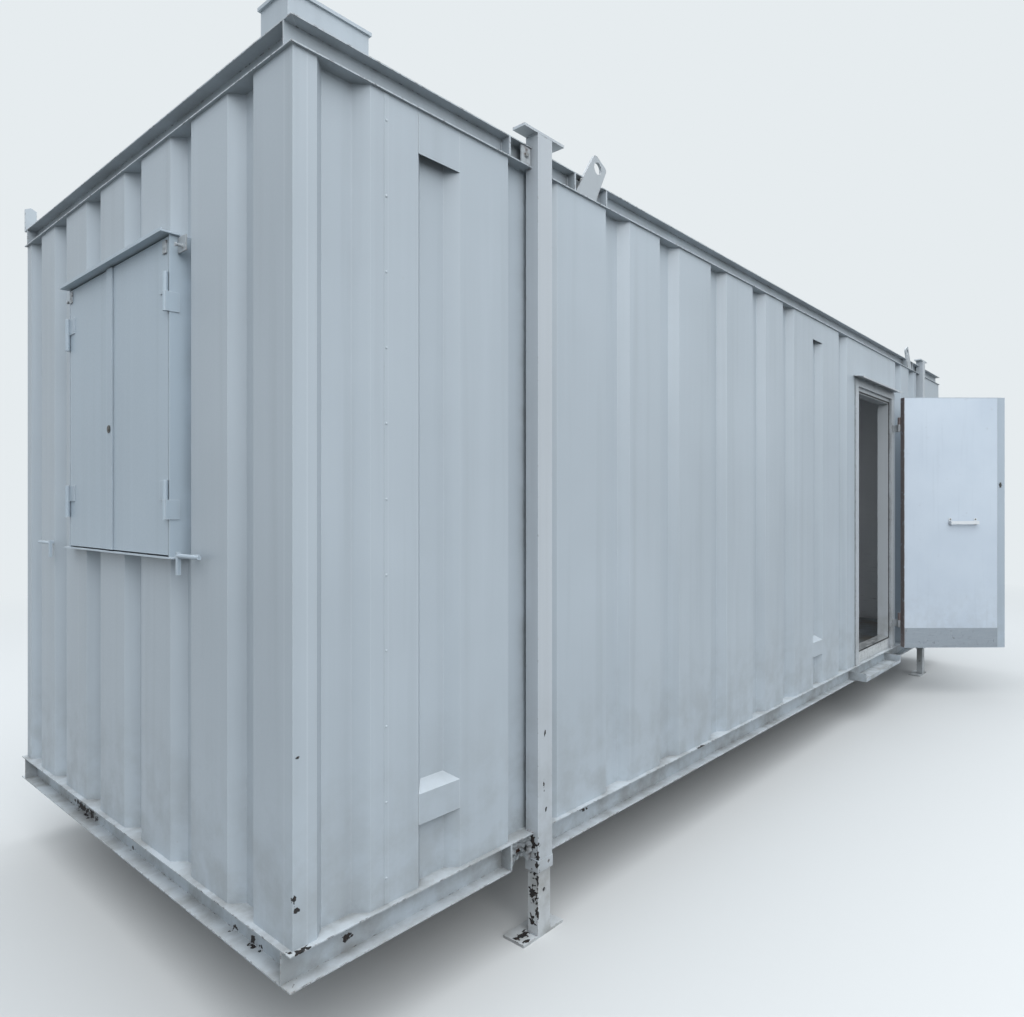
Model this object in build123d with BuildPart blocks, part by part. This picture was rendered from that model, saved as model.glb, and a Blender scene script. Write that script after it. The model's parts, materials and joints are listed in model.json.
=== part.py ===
from build123d import *
from math import atan2, cos, radians, sin, tan
import os

# Steel site cabin on four jack legs, with folded sheet walls between channel rails.
# X runs along the cabin, the long side with the door faces -Y, and the ground is Z = 0.
# The origin lies on the ground under the middle of the cabin and its open door.

# Overall size, measured over the flange tips of the base rails
cabin_length = 7315
cabin_width = 2438
ground_gap = 290
over_door = 289

# Channel rails with outward flanges
rail_flange = 48
rail_steel = 4
base_rail_depth = 100
roof_rail_depth = 76
roof_setback = 8

# Folded wall sheet
wall_setback = 18
sheet = 2
rib_depth = 40
rib_slope = 39
rib_mouth = 178
rib_margin = 5
end_bay_ribs = (181, 541)
first_rib = 1549
rib_steps = (0, 428, 926)
sheet_pitch = 1424
pocket_mouth = 276
pocket_shift = 20
end_rib_mouth = 158
end_rib_first = 310
end_rib_pitch = 406
end_rib_last = 158

# Floor, linings and ceiling
skin_gap = 4
fit_gap = 1
lining_thick = 50
deck_thick = 18
ceiling_thick = 16
post_steel = 3
joist_width = 50
joist_pitch = 600
floor_joist_depth = 60

# Roof sheet
roof_steel = 1.2
roof_rib_depth = 20
roof_rib_mouth = 70
roof_rib_slope = 15
roof_rib_pitch = 333
roof_lap = 12

# Jack legs in their sleeves
near_leg_inset = 1021
far_leg_inset = 775
sleeve_width = 80
sleeve_depth = 60
sleeve_proud = 22
sleeve_wall = 5
sleeve_drop = 43
sleeve_rise = 45
collar_thick = 2
clamp_radius = 7
clamp_offset = 18
clamp_drop = 18
pad_length = 225
pad_thick = 10
leg_clearance = 0.3
leg_wall = 5
leg_length = 1100
foot_length = 222
foot_depth = 104
foot_thick = 10
hole_radius = 8
front_hole_height = 170
side_hole_height = 132

# Rail cut away beside each leg for the sleeve's welds
leg_cut_reach = 158
leg_cut_height = 56
cope_width = 28
cope_low = 9
cope_high = 42

# Lifting eyes and stiffeners in the rails
near_eye_inset = 1318
far_eye_inset = 1125
eye_thick = 12
eye_setback = 14
eye_rise = 126
eye_shoulder = 85
eye_half_base = 66
eye_tip_near = 62
eye_tip_far = 145
eye_round = 18
eye_hole = 25
eye_hole_shift = 81
eye_hole_height = 71
eye_notch_shift = 40
outer_stiffener = 77
inner_stiffener = 135
stiffener_thick = 8

# Door
door_inset = 5160
leaf_width = 853
leaf_height = 2096
leaf_thick = 60
leaf_gap = 5
leaf_lift = 25
leaf_proud = 48
seal_gap = 8
door_angle = 131
frame_proud = 10
jamb_width = 65
jamb_stop = 32
head_depth = 49
head_stop = 45
sill_height = 100
sill_steel = 3
door_canopy_reach = 75
door_canopy_overhang = 33
canopy_rise = 22
canopy_lip = 12
canopy_steel = 3
panel_border = 4
panel_thick = 6
latch_strip = 61
latch_step = 5
kick_height = 160
kick_thick = 1.5
handle_from_hinge = 497
handle_height = 1048
handle_length = 235
handle_width = 28
handle_steel = 8
handle_reach = 40
lock_height = 1363
lock_radius = 13
lock_from_edge = 37

# Step tray below the door
step_inset = 5075
step_width = 910
step_reach = 80
step_cheek = 60
step_lip = 25
step_gap = 30

# Hinges
door_knuckle = 14
door_hinge_pin = 8
door_hinge_length = 120
door_strap = 120
door_bracket = 26
door_hinge_end = 220
shutter_knuckle = 9
shutter_hinge_pin = 5
shutter_hinge_length = 130
shutter_strap = 60
shutter_hinge_end = 190
strap_thick = 4
pin_clearance = 0.06
knuckle_gap = 0.5

# Window behind its shutters
window_width = 980
window_height = 1070
over_window = 354
surround_steel = 5
surround_proud = 31
shutter_thick = 30
shutter_steel = 3
shutter_gap = 6
shutter_strip = 55
shutter_strip_thick = 6
shutter_canopy_reach = 64
shutter_canopy_overhang = 12
sill_reach = 10
sill_overhang = 40
frame_bar = 55
frame_depth = 60
glass_thick = 6
catch_radius = 7
catch_length = 150
catch_foot = 12
catch_reach = 34
catch_lift = 8
catch_drop = 62
near_catch = 151
far_catch = 318

# Vent hoods in the wall ribs
vent_steel = 2
vent_clear = 1
vent_insets = (541, 3899)
upper_vent_height = 137
lower_vent_level = 298
lower_vent_height = 97
lower_vent_slope = 30

# Roof pieces
box_length = 310
box_width = 170
box_height = 306
box_lid = 12
box_overhang = 8
box_end_inset = 200
box_side_inset = 360
edge_rail_inset = 197
edge_rail_start = 2070
edge_rail_end = 6200
edge_rail_width = 40
edge_rail_height = 38
edge_rail_lift = 55
edge_rail_wall = 4
edge_brackets = (3070, 5510)
edge_bracket_width = 40
edge_bracket_steel = 6
edge_bracket_rise = 26
edge_bracket_head = 74
corner_bracket_width = 48
corner_bracket_height = 105
corner_bracket_peak = 12
corner_bracket_steel = 8
corner_arm_length = 50
corner_arm_size = 14

# Levels
base_z = ground_gap
deck_z = base_z + base_rail_depth
leaf_bottom = deck_z + leaf_lift
head_z = leaf_bottom + leaf_height + leaf_gap
head_top = head_z + head_depth
wall_top = head_top + over_door
wall_height = wall_top - deck_z
roof_z = wall_top + roof_rail_depth
ceiling_z = wall_top + rail_steel - ceiling_thick

# Distances in from the flange tips
web_inner = rail_flange + rail_steel
seat_inner = wall_setback + rib_depth + skin_gap
lining_outer = seat_inner + fit_gap
lining_inner = lining_outer + lining_thick
post_size = seat_inner - wall_setback
leg_in = sleeve_depth / 2 - sleeve_proud
frame_face = wall_setback - frame_proud
leaf_face = frame_face - leaf_proud
stop_outer = leaf_face + leaf_thick + seal_gap
door_pin_in = leaf_face - door_knuckle - knuckle_gap
leg_width = sleeve_width - 2 * sleeve_wall - 2 * leg_clearance
leg_depth = sleeve_depth - 2 * sleeve_wall - 2 * leg_clearance
foot_shift = (foot_depth - leg_depth) / 2

# The open leaf reaches out past the rails, and the sleeves' collars a little past them at the back
leaf_reach = (leaf_width + leaf_gap / 2) * sin(radians(door_angle)) - door_pin_in
leaf_reach += (door_knuckle + knuckle_gap + leaf_thick) * abs(cos(radians(door_angle)))
sleeve_reach = sleeve_proud + collar_thick
cabin_y = (leaf_reach - sleeve_reach) / 2

# One plane for each wall: local X along it, local Y inward from the flange tips
cabin = Plane(origin=(0, cabin_y, 0))
front = Plane(origin=(0, cabin_y - cabin_width / 2, 0), x_dir=(1, 0, 0), z_dir=(0, 0, 1))
rear = Plane(origin=(0, cabin_y + cabin_width / 2, 0), x_dir=(-1, 0, 0), z_dir=(0, 0, 1))
left = Plane(origin=(-cabin_length / 2, cabin_y, 0), x_dir=(0, -1, 0), z_dir=(0, 0, 1))
right = Plane(origin=(cabin_length / 2, cabin_y, 0), x_dir=(0, 1, 0), z_dir=(0, 0, 1))

# Plan positions
half_length = cabin_length / 2
half_width = cabin_width / 2
leg_spots = (near_leg_inset - half_length, half_length - far_leg_inset)
eye_spots = (near_eye_inset - half_length, half_length - far_eye_inset)
leg_y = half_width - leg_in
door_x = door_inset - half_length
door_half = leaf_width / 2 + leaf_gap
frame_half = door_half + jamb_width
opening_half = door_half - jamb_stop
sheet_end = half_length - wall_setback - post_size
end_sheet_end = half_width - wall_setback - post_size
window_high = wall_top - over_window
window_low = window_high - window_height
window_half = window_width / 2

# The same ribs run along both long sides, and along both ends
panel_count = int((cabin_length - first_rib) // sheet_pitch) + 1
rib_insets = list(end_bay_ribs)
rib_insets += [first_rib + panel * sheet_pitch + step for panel in range(panel_count) for step in rib_steps]
rib_spots = [inset - half_length for inset in rib_insets]
end_rib_count = int((cabin_width - end_rib_last - end_rib_mouth - end_rib_first) // end_rib_pitch) + 1
end_ribs = [half_width - end_rib_first - i * end_rib_pitch for i in range(end_rib_count)]
end_ribs.append(end_rib_last - half_width)


def outward(spot):
    """-1 or 1: the way from the middle of the cabin to this place along it."""
    return 1 if spot > 0 else -1


def slab(wall, start, end, low, high, outer, inner, mode=Mode.ADD):
    """Upright slab along a wall, between two distances in from the flange tips."""
    with BuildSketch(wall.offset(low)) as plan:
        with Locations(((start + end) / 2, (outer + inner) / 2)):
            Rectangle(abs(end - start), abs(inner - outer))
    extrude(plan.sketch, amount=high - low, mode=mode)


def upright(wall, inset):
    """Upright plane facing out of a wall: local X along the wall, local Y up."""
    return Plane(origin=wall.origin + wall.y_dir * inset, x_dir=wall.x_dir, z_dir=-wall.y_dir)


def mitred_strip(wall, length, height, outer, inner, depth):
    """Level strip along a wall with both ends cut at 45 degrees."""
    with BuildSketch(wall.offset(height)) as plan:
        Polygon(
            (outer - length / 2, outer),
            (length / 2 - outer, outer),
            (length / 2 - inner, inner),
            (inner - length / 2, inner),
            align=None,
        )
    extrude(plan.sketch, amount=depth)


def channel_rail(wall, length, web_end, underside, depth, tip, bottom_inner, top_inner):
    """Channel with outward flanges, one of which also runs inward as a seat."""
    top = underside + depth - rail_steel
    mitred_strip(wall, length, underside, tip, bottom_inner, rail_steel)
    slab(wall, -web_end, web_end, underside + rail_steel, top, rail_flange, web_inner)
    mitred_strip(wall, length, top, tip, top_inner, rail_steel)


def rib_corners(centre, mouth, slope, depth, face, shift):
    return [
        (centre - mouth / 2 - shift, face),
        (centre - mouth / 2 + slope - shift, face + depth),
        (centre + mouth / 2 - slope + shift, face + depth),
        (centre + mouth / 2 + shift, face),
    ]


def folded_section(plane, half, ribs, face, thickness, slope, depth):
    """Section of a folded sheet whose ribs, each with its own mouth, go towards local +Y."""
    shift = thickness * tan(atan2(depth, slope) / 2)
    outer = [(-half, face)]
    inner = [(-half, face + thickness)]
    for centre, mouth in ribs:
        outer += rib_corners(centre, mouth, slope, depth, face, 0)
        inner += rib_corners(centre, mouth, slope, depth, face + thickness, shift)
    outer.append((half, face))
    inner.append((half, face + thickness))
    with BuildSketch(plane) as section:
        with BuildLine():
            Polyline(*outer, *reversed(inner), close=True)
        make_face()
    return section.sketch


def wall_sheet(wall, half, spots, mouth, pockets=()):
    """Folded sheet for a whole wall, with a wide pocket behind each leg sleeve."""
    near = (mouth + pocket_mouth) / 2 + rib_margin
    ribs = [(pocket, pocket_mouth) for pocket in pockets]
    ribs += [
        (spot, mouth)
        for spot in spots
        if abs(spot) < half - mouth / 2 - rib_margin
        and all(abs(spot - pocket) > near for pocket in pockets)
    ]
    section = folded_section(
        wall.offset(deck_z), half, sorted(ribs), wall_setback, sheet, rib_slope, rib_depth
    )
    extrude(section, amount=wall_height)


def at_legs(width, depth, height):
    """One rectangle on each of the four jack legs."""
    with BuildSketch(cabin.offset(height)) as outlines:
        with Locations(*((x, side * leg_y) for x in leg_spots for side in (-1, 1))):
            Rectangle(width, depth)
    return outlines.sketch


def barrel(plane, x, y, low, high, radius):
    with BuildSketch(plane.offset(low)) as disc:
        with Locations((x, y)):
            Circle(radius)
    return extrude(disc.sketch, amount=high - low, mode=Mode.PRIVATE)


# Each long side with the sign that turns a place along the cabin into its own local X
long_sides = ((front, 1), (rear, -1))

# Base frame, with the side rails' webs run on to the corners as plates between the flanges
with BuildPart() as base_side_rails:
    for wall, turn in long_sides:
        channel_rail(
            wall, cabin_length, half_length, base_z, base_rail_depth, 0, web_inner, seat_inner
        )
        for spot in leg_spots:
            out = outward(spot)
            slab(
                wall,
                turn * (spot + out * sleeve_width / 2),
                turn * (spot + out * leg_cut_reach),
                base_z,
                base_z + leg_cut_height,
                0,
                web_inner,
                mode=Mode.SUBTRACT,
            )
            edge = turn * (spot - out * sleeve_width / 2)
            with BuildSketch(upright(wall, rail_flange)) as cope:
                Polygon(
                    (edge, base_z + cope_low),
                    (edge, base_z + cope_high),
                    (edge - turn * out * cope_width, base_z + cope_low),
                    align=None,
                )
            extrude(cope.sketch, amount=-rail_steel, mode=Mode.SUBTRACT)
    extrude(at_legs(sleeve_width, sleeve_depth, base_z), amount=base_rail_depth, mode=Mode.SUBTRACT)
    step_x = step_inset - half_length
    slab(
        front,
        step_x - step_width / 2 - step_gap,
        step_x + step_width / 2,
        base_z,
        base_z + rail_steel,
        0,
        rail_flange,
        mode=Mode.SUBTRACT,
    )

with BuildPart() as base_end_rails:
    for wall in (left, right):
        channel_rail(
            wall,
            cabin_width,
            half_width - web_inner,
            base_z,
            base_rail_depth,
            0,
            web_inner,
            seat_inner,
        )

joist_span = cabin_length - 2 * web_inner - joist_width
joist_count = int(joist_span // joist_pitch) + 1


def cross_joists(top, depth):
    """Row of joists between the webs of the side rails."""
    with BuildSketch(cabin.offset(top - depth)) as plan:
        with GridLocations(joist_pitch, 0, joist_count, 1):
            Rectangle(joist_width, cabin_width - 2 * web_inner)
    extrude(plan.sketch, amount=depth)


with BuildPart() as floor_joists:
    cross_joists(deck_z - deck_thick, floor_joist_depth)

with BuildPart() as floor_deck:
    with BuildSketch(cabin.offset(deck_z - deck_thick)):
        Rectangle(cabin_length - 2 * lining_outer, cabin_width - 2 * lining_outer)
    extrude(amount=deck_thick)

# Walls
with BuildPart() as corner_posts:
    with BuildSketch(cabin.offset(deck_z)):
        with GridLocations(
            cabin_length - 2 * wall_setback - post_size,
            cabin_width - 2 * wall_setback - post_size,
            2,
            2,
        ):
            Rectangle(post_size, post_size)
            Rectangle(post_size - 2 * post_steel, post_size - 2 * post_steel, mode=Mode.SUBTRACT)
    extrude(amount=wall_height)

pockets = [spot + outward(spot) * pocket_shift for spot in leg_spots]
cut_inner = seat_inner + fit_gap / 2

with BuildPart() as front_wall_sides:
    wall_sheet(front, sheet_end, rib_spots, rib_mouth, pockets)
    slab(
        front,
        door_x - frame_half,
        door_x + frame_half,
        deck_z,
        wall_top,
        0,
        cut_inner,
        mode=Mode.SUBTRACT,
    )

with BuildPart() as front_wall_over_door:
    slab(
        front,
        door_x - frame_half,
        door_x + frame_half,
        head_top,
        wall_top,
        wall_setback,
        wall_setback + sheet,
    )

with BuildPart() as rear_wall:
    wall_sheet(rear, sheet_end, rib_spots, rib_mouth, [-pocket for pocket in pockets])

# The window wall's sheet is folded whole, so that its ribs run on past the window
with BuildPart() as left_wall_sides:
    wall_sheet(left, end_sheet_end, end_ribs, end_rib_mouth)
    slab(left, -window_half, window_half, deck_z, wall_top, 0, cut_inner, mode=Mode.SUBTRACT)

with BuildPart() as left_wall_over_under:
    wall_sheet(left, end_sheet_end, end_ribs, end_rib_mouth)
    slab(left, -window_half, window_half, deck_z, wall_top, 0, cut_inner, mode=Mode.INTERSECT)
    slab(
        left,
        -window_half,
        window_half,
        window_low - surround_steel,
        window_high + surround_steel,
        0,
        cut_inner,
        mode=Mode.SUBTRACT,
    )

with BuildPart() as right_wall:
    wall_sheet(right, end_sheet_end, [-rib for rib in end_ribs], end_rib_mouth)

# Linings inside the sheets
lining_end = half_length - lining_outer
end_lining_end = half_width - lining_inner - fit_gap

with BuildPart() as front_lining_sides:
    for start, end in ((-lining_end, door_x - frame_half), (door_x + frame_half, lining_end)):
        slab(front, start, end, deck_z, ceiling_z, lining_outer, lining_inner)

with BuildPart() as front_lining_over_door:
    slab(
        front,
        door_x - frame_half,
        door_x + frame_half,
        head_top,
        ceiling_z,
        lining_outer,
        lining_inner,
    )

with BuildPart() as rear_lining:
    slab(rear, -lining_end, lining_end, deck_z, ceiling_z, lining_outer, lining_inner)

with BuildPart() as left_lining_sides:
    for start, end in ((-end_lining_end, -window_half), (window_half, end_lining_end)):
        slab(left, start, end, deck_z, ceiling_z, lining_outer, lining_inner)

with BuildPart() as left_lining_over_under:
    for low, high in ((deck_z, window_low - surround_steel), (window_high + surround_steel, ceiling_z)):
        slab(left, -window_half, window_half, low, high, lining_outer, lining_inner)

with BuildPart() as right_lining:
    slab(right, -end_lining_end, end_lining_end, deck_z, ceiling_z, lining_outer, lining_inner)

# Roof
with BuildPart() as roof_side_rails:
    for wall, turn in long_sides:
        channel_rail(
            wall,
            cabin_length,
            half_length - roof_setback,
            wall_top,
            roof_rail_depth,
            roof_setback,
            seat_inner,
            web_inner,
        )
        with BuildSketch(wall.offset(roof_z - rail_steel)) as eye_notches:
            for spot in eye_spots:
                notch = spot - outward(spot) * eye_notch_shift
                with Locations((turn * notch, rail_flange / 2)):
                    Rectangle(2 * eye_half_base, rail_flange)
        extrude(eye_notches.sketch, amount=rail_steel, mode=Mode.SUBTRACT)
    extrude(at_legs(sleeve_width, sleeve_depth, wall_top), amount=roof_rail_depth, mode=Mode.SUBTRACT)

with BuildPart() as roof_end_rails:
    for wall in (left, right):
        channel_rail(
            wall,
            cabin_width,
            half_width - web_inner,
            wall_top,
            roof_rail_depth,
            roof_setback,
            seat_inner,
            web_inner,
        )

with BuildPart() as roof_joists:
    cross_joists(roof_z, roof_rail_depth - rail_steel)

roof_half = half_length - rail_flange + roof_lap
roof_rib_count = int((2 * roof_half - roof_rib_mouth) // roof_rib_pitch)
roof_ribs = [(i - (roof_rib_count - 1) / 2) * roof_rib_pitch for i in range(roof_rib_count)]

with BuildPart() as roof_sheet:
    section = folded_section(
        Plane(origin=(0, cabin_y, roof_z), x_dir=(1, 0, 0), z_dir=(0, -1, 0)),
        roof_half,
        [(rib, roof_rib_mouth) for rib in roof_ribs],
        0,
        roof_steel,
        roof_rib_slope,
        roof_rib_depth,
    )
    extrude(section, amount=half_width - rail_flange + roof_lap, both=True)
    extrude(
        at_legs(sleeve_width, sleeve_depth, roof_z),
        amount=roof_rib_depth + roof_steel,
        mode=Mode.SUBTRACT,
    )

with BuildPart() as ceiling_lining:
    with BuildSketch(cabin.offset(ceiling_z)):
        Rectangle(cabin_length - 2 * lining_outer, cabin_width - 2 * lining_outer)
    extrude(amount=ceiling_thick)

# Jack leg sleeves with a collar below the rail and a lifting pad on top
sleeve_bottom = base_z - sleeve_drop
sleeve_top = roof_z + sleeve_rise

with BuildPart() as leg_sleeves:
    sleeve_height = sleeve_top - sleeve_bottom
    collar = 2 * collar_thick
    bore = -2 * sleeve_wall
    extrude(at_legs(sleeve_width, sleeve_depth, sleeve_bottom), amount=sleeve_height)
    extrude(
        at_legs(sleeve_width + collar, sleeve_depth + collar, sleeve_bottom), amount=sleeve_drop
    )
    extrude(
        at_legs(sleeve_width + bore, sleeve_depth + bore, sleeve_bottom),
        amount=sleeve_height,
        mode=Mode.SUBTRACT,
    )
    extrude(at_legs(pad_length, sleeve_depth, sleeve_top), amount=pad_thick)
    for wall, turn in long_sides:
        with BuildSketch(upright(wall, -sleeve_proud - collar_thick)) as clamp_holes:
            for spot in leg_spots:
                clamp = spot - outward(spot) * clamp_offset
                with Locations((turn * clamp, base_z - clamp_drop)):
                    Circle(clamp_radius)
        extrude(clamp_holes.sketch, amount=-sleeve_wall - collar_thick, mode=Mode.SUBTRACT)


def jack_leg(spot_x, side):
    """Tube with a foot plate under its inner side and cross holes for its locking bolts."""
    spot = (spot_x, cabin_y + side * leg_y)
    hole_planes = (
        Plane(origin=(*spot, front_hole_height), x_dir=(1, 0, 0), z_dir=(0, -1, 0)),
        Plane(origin=(*spot, side_hole_height), x_dir=(0, 1, 0), z_dir=(1, 0, 0)),
    )
    with BuildPart() as leg:
        with BuildSketch(Plane(origin=(*spot, 0))):
            with Locations((0, -side * foot_shift)):
                Rectangle(foot_length, foot_depth)
        extrude(amount=foot_thick)
        with BuildSketch(Plane(origin=(*spot, foot_thick))):
            Rectangle(leg_width, leg_depth)
            Rectangle(leg_width - 2 * leg_wall, leg_depth - 2 * leg_wall, mode=Mode.SUBTRACT)
        extrude(amount=leg_length)
        for plane in hole_planes:
            with BuildSketch(plane) as hole:
                Circle(hole_radius)
            extrude(hole.sketch, amount=leg_width, both=True, mode=Mode.SUBTRACT)
    return leg


jack_legs = {
    "jack_leg_front_left": jack_leg(leg_spots[0], -1),
    "jack_leg_front_right": jack_leg(leg_spots[1], -1),
    "jack_leg_rear_left": jack_leg(leg_spots[0], 1),
    "jack_leg_rear_right": jack_leg(leg_spots[1], 1),
}

# Plates welded across the rails beside the legs and the lifting eyes
with BuildPart() as rail_stiffeners:
    beside_legs = [spot + outward(spot) * leg_cut_reach for spot in leg_spots]
    eye_gaps = (outer_stiffener, -inner_stiffener)
    beside_eyes = [spot + outward(spot) * gap for spot in eye_spots for gap in eye_gaps]
    for wall, turn in long_sides:
        for level, depth, tip, spots in (
            (wall_top, roof_rail_depth, roof_setback, beside_legs + beside_eyes),
            (base_z, base_rail_depth, 0, beside_legs),
        ):
            with BuildSketch(wall.offset(level + rail_steel)) as plates:
                for spot in spots:
                    with Locations((turn * spot, (tip + rail_flange) / 2)):
                        Rectangle(stiffener_thick, rail_flange - tip)
            extrude(plates.sketch, amount=depth - 2 * rail_steel)

# Lifting eyes, leaning towards the middle of the cabin
with BuildPart() as lifting_eyes:
    for wall, turn in long_sides:
        for spot in eye_spots:
            lean = turn * outward(spot)
            middle = turn * spot
            with BuildSketch(upright(wall, eye_setback)) as blade:
                with BuildLine():
                    Polyline(
                        (middle + lean * eye_half_base, wall_top + rail_steel),
                        (middle - lean * eye_tip_near, roof_z + eye_rise),
                        (middle - lean * eye_tip_far, roof_z + eye_shoulder),
                        (middle - lean * eye_half_base, wall_top + rail_steel),
                        close=True,
                    )
                make_face()
                fillet(blade.vertices().sort_by(Axis.Y)[-2:], eye_round)
                with Locations((middle - lean * eye_hole_shift, roof_z + eye_hole_height)):
                    Circle(eye_hole, mode=Mode.SUBTRACT)
            extrude(blade.sketch, amount=-eye_thick)

# Door frame
closed_leaf = Plane(
    origin=(door_x + door_half - leaf_gap / 2, front.origin.Y + door_pin_in, 0),
    x_dir=(-1, 0, 0),
    z_dir=(0, 0, 1),
)
open_leaf = closed_leaf.rotated((0, 0, door_angle))
door_hinge_heights = (door_hinge_end, leaf_height - door_hinge_end)


def moving_hinge(plane, centre_z, length, knuckle, pin, strap):
    """Upper knuckle with the strap that is welded to the leaf."""
    low = centre_z + knuckle_gap
    add(barrel(plane, 0, 0, low, centre_z + length / 2, knuckle))
    with BuildSketch(plane.offset(low)) as plan:
        with Locations((0, strap_thick - knuckle - knuckle_gap)):
            Rectangle(strap, strap_thick, align=(Align.MIN, Align.MAX))
    extrude(plan.sketch, amount=length / 2 - knuckle_gap)
    add(barrel(plane, 0, 0, low, centre_z + length / 2, pin + pin_clearance), mode=Mode.SUBTRACT)


with BuildPart() as door_jambs:
    for side in (-1, 1):
        with BuildSketch(front.offset(deck_z)) as plan:
            Polygon(
                (door_x + side * door_half, frame_face),
                (door_x + side * frame_half, frame_face),
                (door_x + side * frame_half, lining_inner),
                (door_x + side * opening_half, lining_inner),
                (door_x + side * opening_half, stop_outer),
                (door_x + side * door_half, stop_outer),
                align=None,
            )
        extrude(plan.sketch, amount=head_z - deck_z)
    # Lower knuckles with their pins, on brackets bent back to the frame
    bracket_face = -door_knuckle - knuckle_gap
    for height in door_hinge_heights:
        middle = leaf_bottom + height
        low = middle - door_hinge_length / 2
        add(barrel(closed_leaf, 0, 0, low, middle, door_knuckle))
        add(barrel(closed_leaf, 0, 0, middle, middle + door_hinge_length / 2, door_hinge_pin))
        with BuildSketch(closed_leaf.offset(low)) as plan:
            Polygon(
                (0, bracket_face),
                (0, bracket_face + strap_thick),
                (-door_bracket, bracket_face + strap_thick),
                (-door_bracket, door_pin_in - frame_face),
                (strap_thick - door_bracket, door_pin_in - frame_face),
                (strap_thick - door_bracket, bracket_face),
                align=None,
            )
        extrude(plan.sketch, amount=door_hinge_length / 2)

with BuildPart() as door_head:
    slab(front, door_x - frame_half, door_x + frame_half, head_z, head_top, frame_face, lining_inner)
    slab(
        front,
        door_x - opening_half,
        door_x + opening_half,
        head_z - head_stop,
        head_z,
        stop_outer,
        lining_inner,
    )

# Raised sill, a folded plate that stands on the floor
with BuildPart() as door_threshold:
    sill_ends = (door_x - opening_half, door_x + opening_half)
    sill_top = deck_z + sill_height
    slab(front, *sill_ends, deck_z, sill_top, stop_outer, lining_inner)
    slab(
        front,
        *sill_ends,
        deck_z,
        sill_top - sill_steel,
        stop_outer + sill_steel,
        lining_inner - sill_steel,
        mode=Mode.SUBTRACT,
    )

# Drip canopy over the door, a sheet that falls to a turned down lip
with BuildPart() as door_canopy:
    canopy_outer = wall_setback - door_canopy_reach
    with BuildSketch(
        Plane(origin=(door_x, front.origin.Y, head_top), x_dir=(0, 1, 0), z_dir=(1, 0, 0))
    ):
        Polygon(
            (wall_setback, canopy_rise - canopy_steel),
            (wall_setback, canopy_rise),
            (canopy_outer, canopy_lip),
            (canopy_outer, 0),
            (canopy_outer + canopy_steel, 0),
            (canopy_outer + canopy_steel, canopy_lip - canopy_steel),
            align=None,
        )
    extrude(amount=frame_half + door_canopy_overhang, both=True)

# Step tray, a shallow pan welded under the rail below the door
with BuildPart() as door_step:
    step_ends = (step_x - step_width / 2, step_x + step_width / 2)
    slab(front, *step_ends, base_z, base_z + rail_steel, -step_reach, rail_flange)
    slab(front, *step_ends, base_z, base_z + step_lip, -step_reach, rail_steel - step_reach)
    for end, side in zip(step_ends, (1, -1)):
        slab(
            front,
            end,
            end + side * rail_steel,
            base_z,
            base_z + step_cheek,
            -step_reach,
            rail_flange,
        )

# Door leaf, built on its open plane: local X from the hinge pin to the latch edge
leaf_low = -door_knuckle - knuckle_gap - leaf_thick
leaf_start = leaf_gap / 2
leaf_end = leaf_start + leaf_width
leaf_inside = Plane(
    origin=open_leaf.origin + open_leaf.y_dir * leaf_low + Vector(0, 0, leaf_bottom),
    x_dir=open_leaf.x_dir,
    z_dir=-open_leaf.y_dir,
)
panel_start = leaf_start + panel_border
panel_end = leaf_end - latch_strip - panel_border

with BuildPart() as door_leaf:
    with BuildSketch(open_leaf.offset(leaf_bottom)):
        with Locations((leaf_start, leaf_low)):
            Rectangle(leaf_width, leaf_thick, align=(Align.MIN, Align.MIN))
    extrude(amount=leaf_height)
    with BuildSketch(leaf_inside) as panel_recess:
        with Locations(((panel_start + panel_end) / 2, leaf_height / 2)):
            Rectangle(panel_end - panel_start, leaf_height - 2 * panel_border)
    extrude(panel_recess.sketch, amount=-panel_thick, mode=Mode.SUBTRACT)
    with BuildSketch(leaf_inside) as latch_rebate:
        with Locations((leaf_end - latch_strip / 2, leaf_height / 2)):
            Rectangle(latch_strip, leaf_height)
    extrude(latch_rebate.sketch, amount=-latch_step, mode=Mode.SUBTRACT)
    with BuildSketch(leaf_inside) as lock_hole:
        with Locations((leaf_end - lock_from_edge, lock_height)):
            Circle(lock_radius)
    extrude(lock_hole.sketch, amount=-leaf_thick, mode=Mode.SUBTRACT)
    for height in door_hinge_heights:
        moving_hinge(
            open_leaf,
            leaf_bottom + height,
            door_hinge_length,
            door_knuckle,
            door_hinge_pin,
            door_strap,
        )


def panel_plate(plane, low, height, thickness):
    """Plate across the recess in the leaf's inner face."""
    with BuildSketch(plane) as face:
        with Locations(((panel_start + panel_end) / 2, low + height / 2)):
            Rectangle(panel_end - panel_start - 2 * fit_gap, height)
    extrude(face.sketch, amount=thickness)


panel_low = panel_border + fit_gap

with BuildPart() as door_inner_panel:
    panel_plate(
        leaf_inside.offset(-panel_thick), panel_low, leaf_height - 2 * panel_low, panel_thick
    )

with BuildPart() as door_kick_plate:
    panel_plate(leaf_inside, panel_low, kick_height, kick_thick)

# Pull handle, a flat bar on two feet
with BuildPart() as door_pull_handle:
    with BuildSketch(
        Plane(
            origin=leaf_inside.origin + leaf_inside.y_dir * handle_height,
            x_dir=leaf_inside.x_dir,
            z_dir=leaf_inside.y_dir,
        )
    ) as bar:
        with Locations((handle_from_hinge, 0)):
            Rectangle(handle_length, handle_reach, align=(Align.CENTER, Align.MAX))
            Rectangle(
                handle_length - 2 * handle_steel,
                handle_reach - handle_steel,
                align=(Align.CENTER, Align.MAX),
                mode=Mode.SUBTRACT,
            )
    extrude(bar.sketch, amount=handle_width / 2, both=True)

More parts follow.
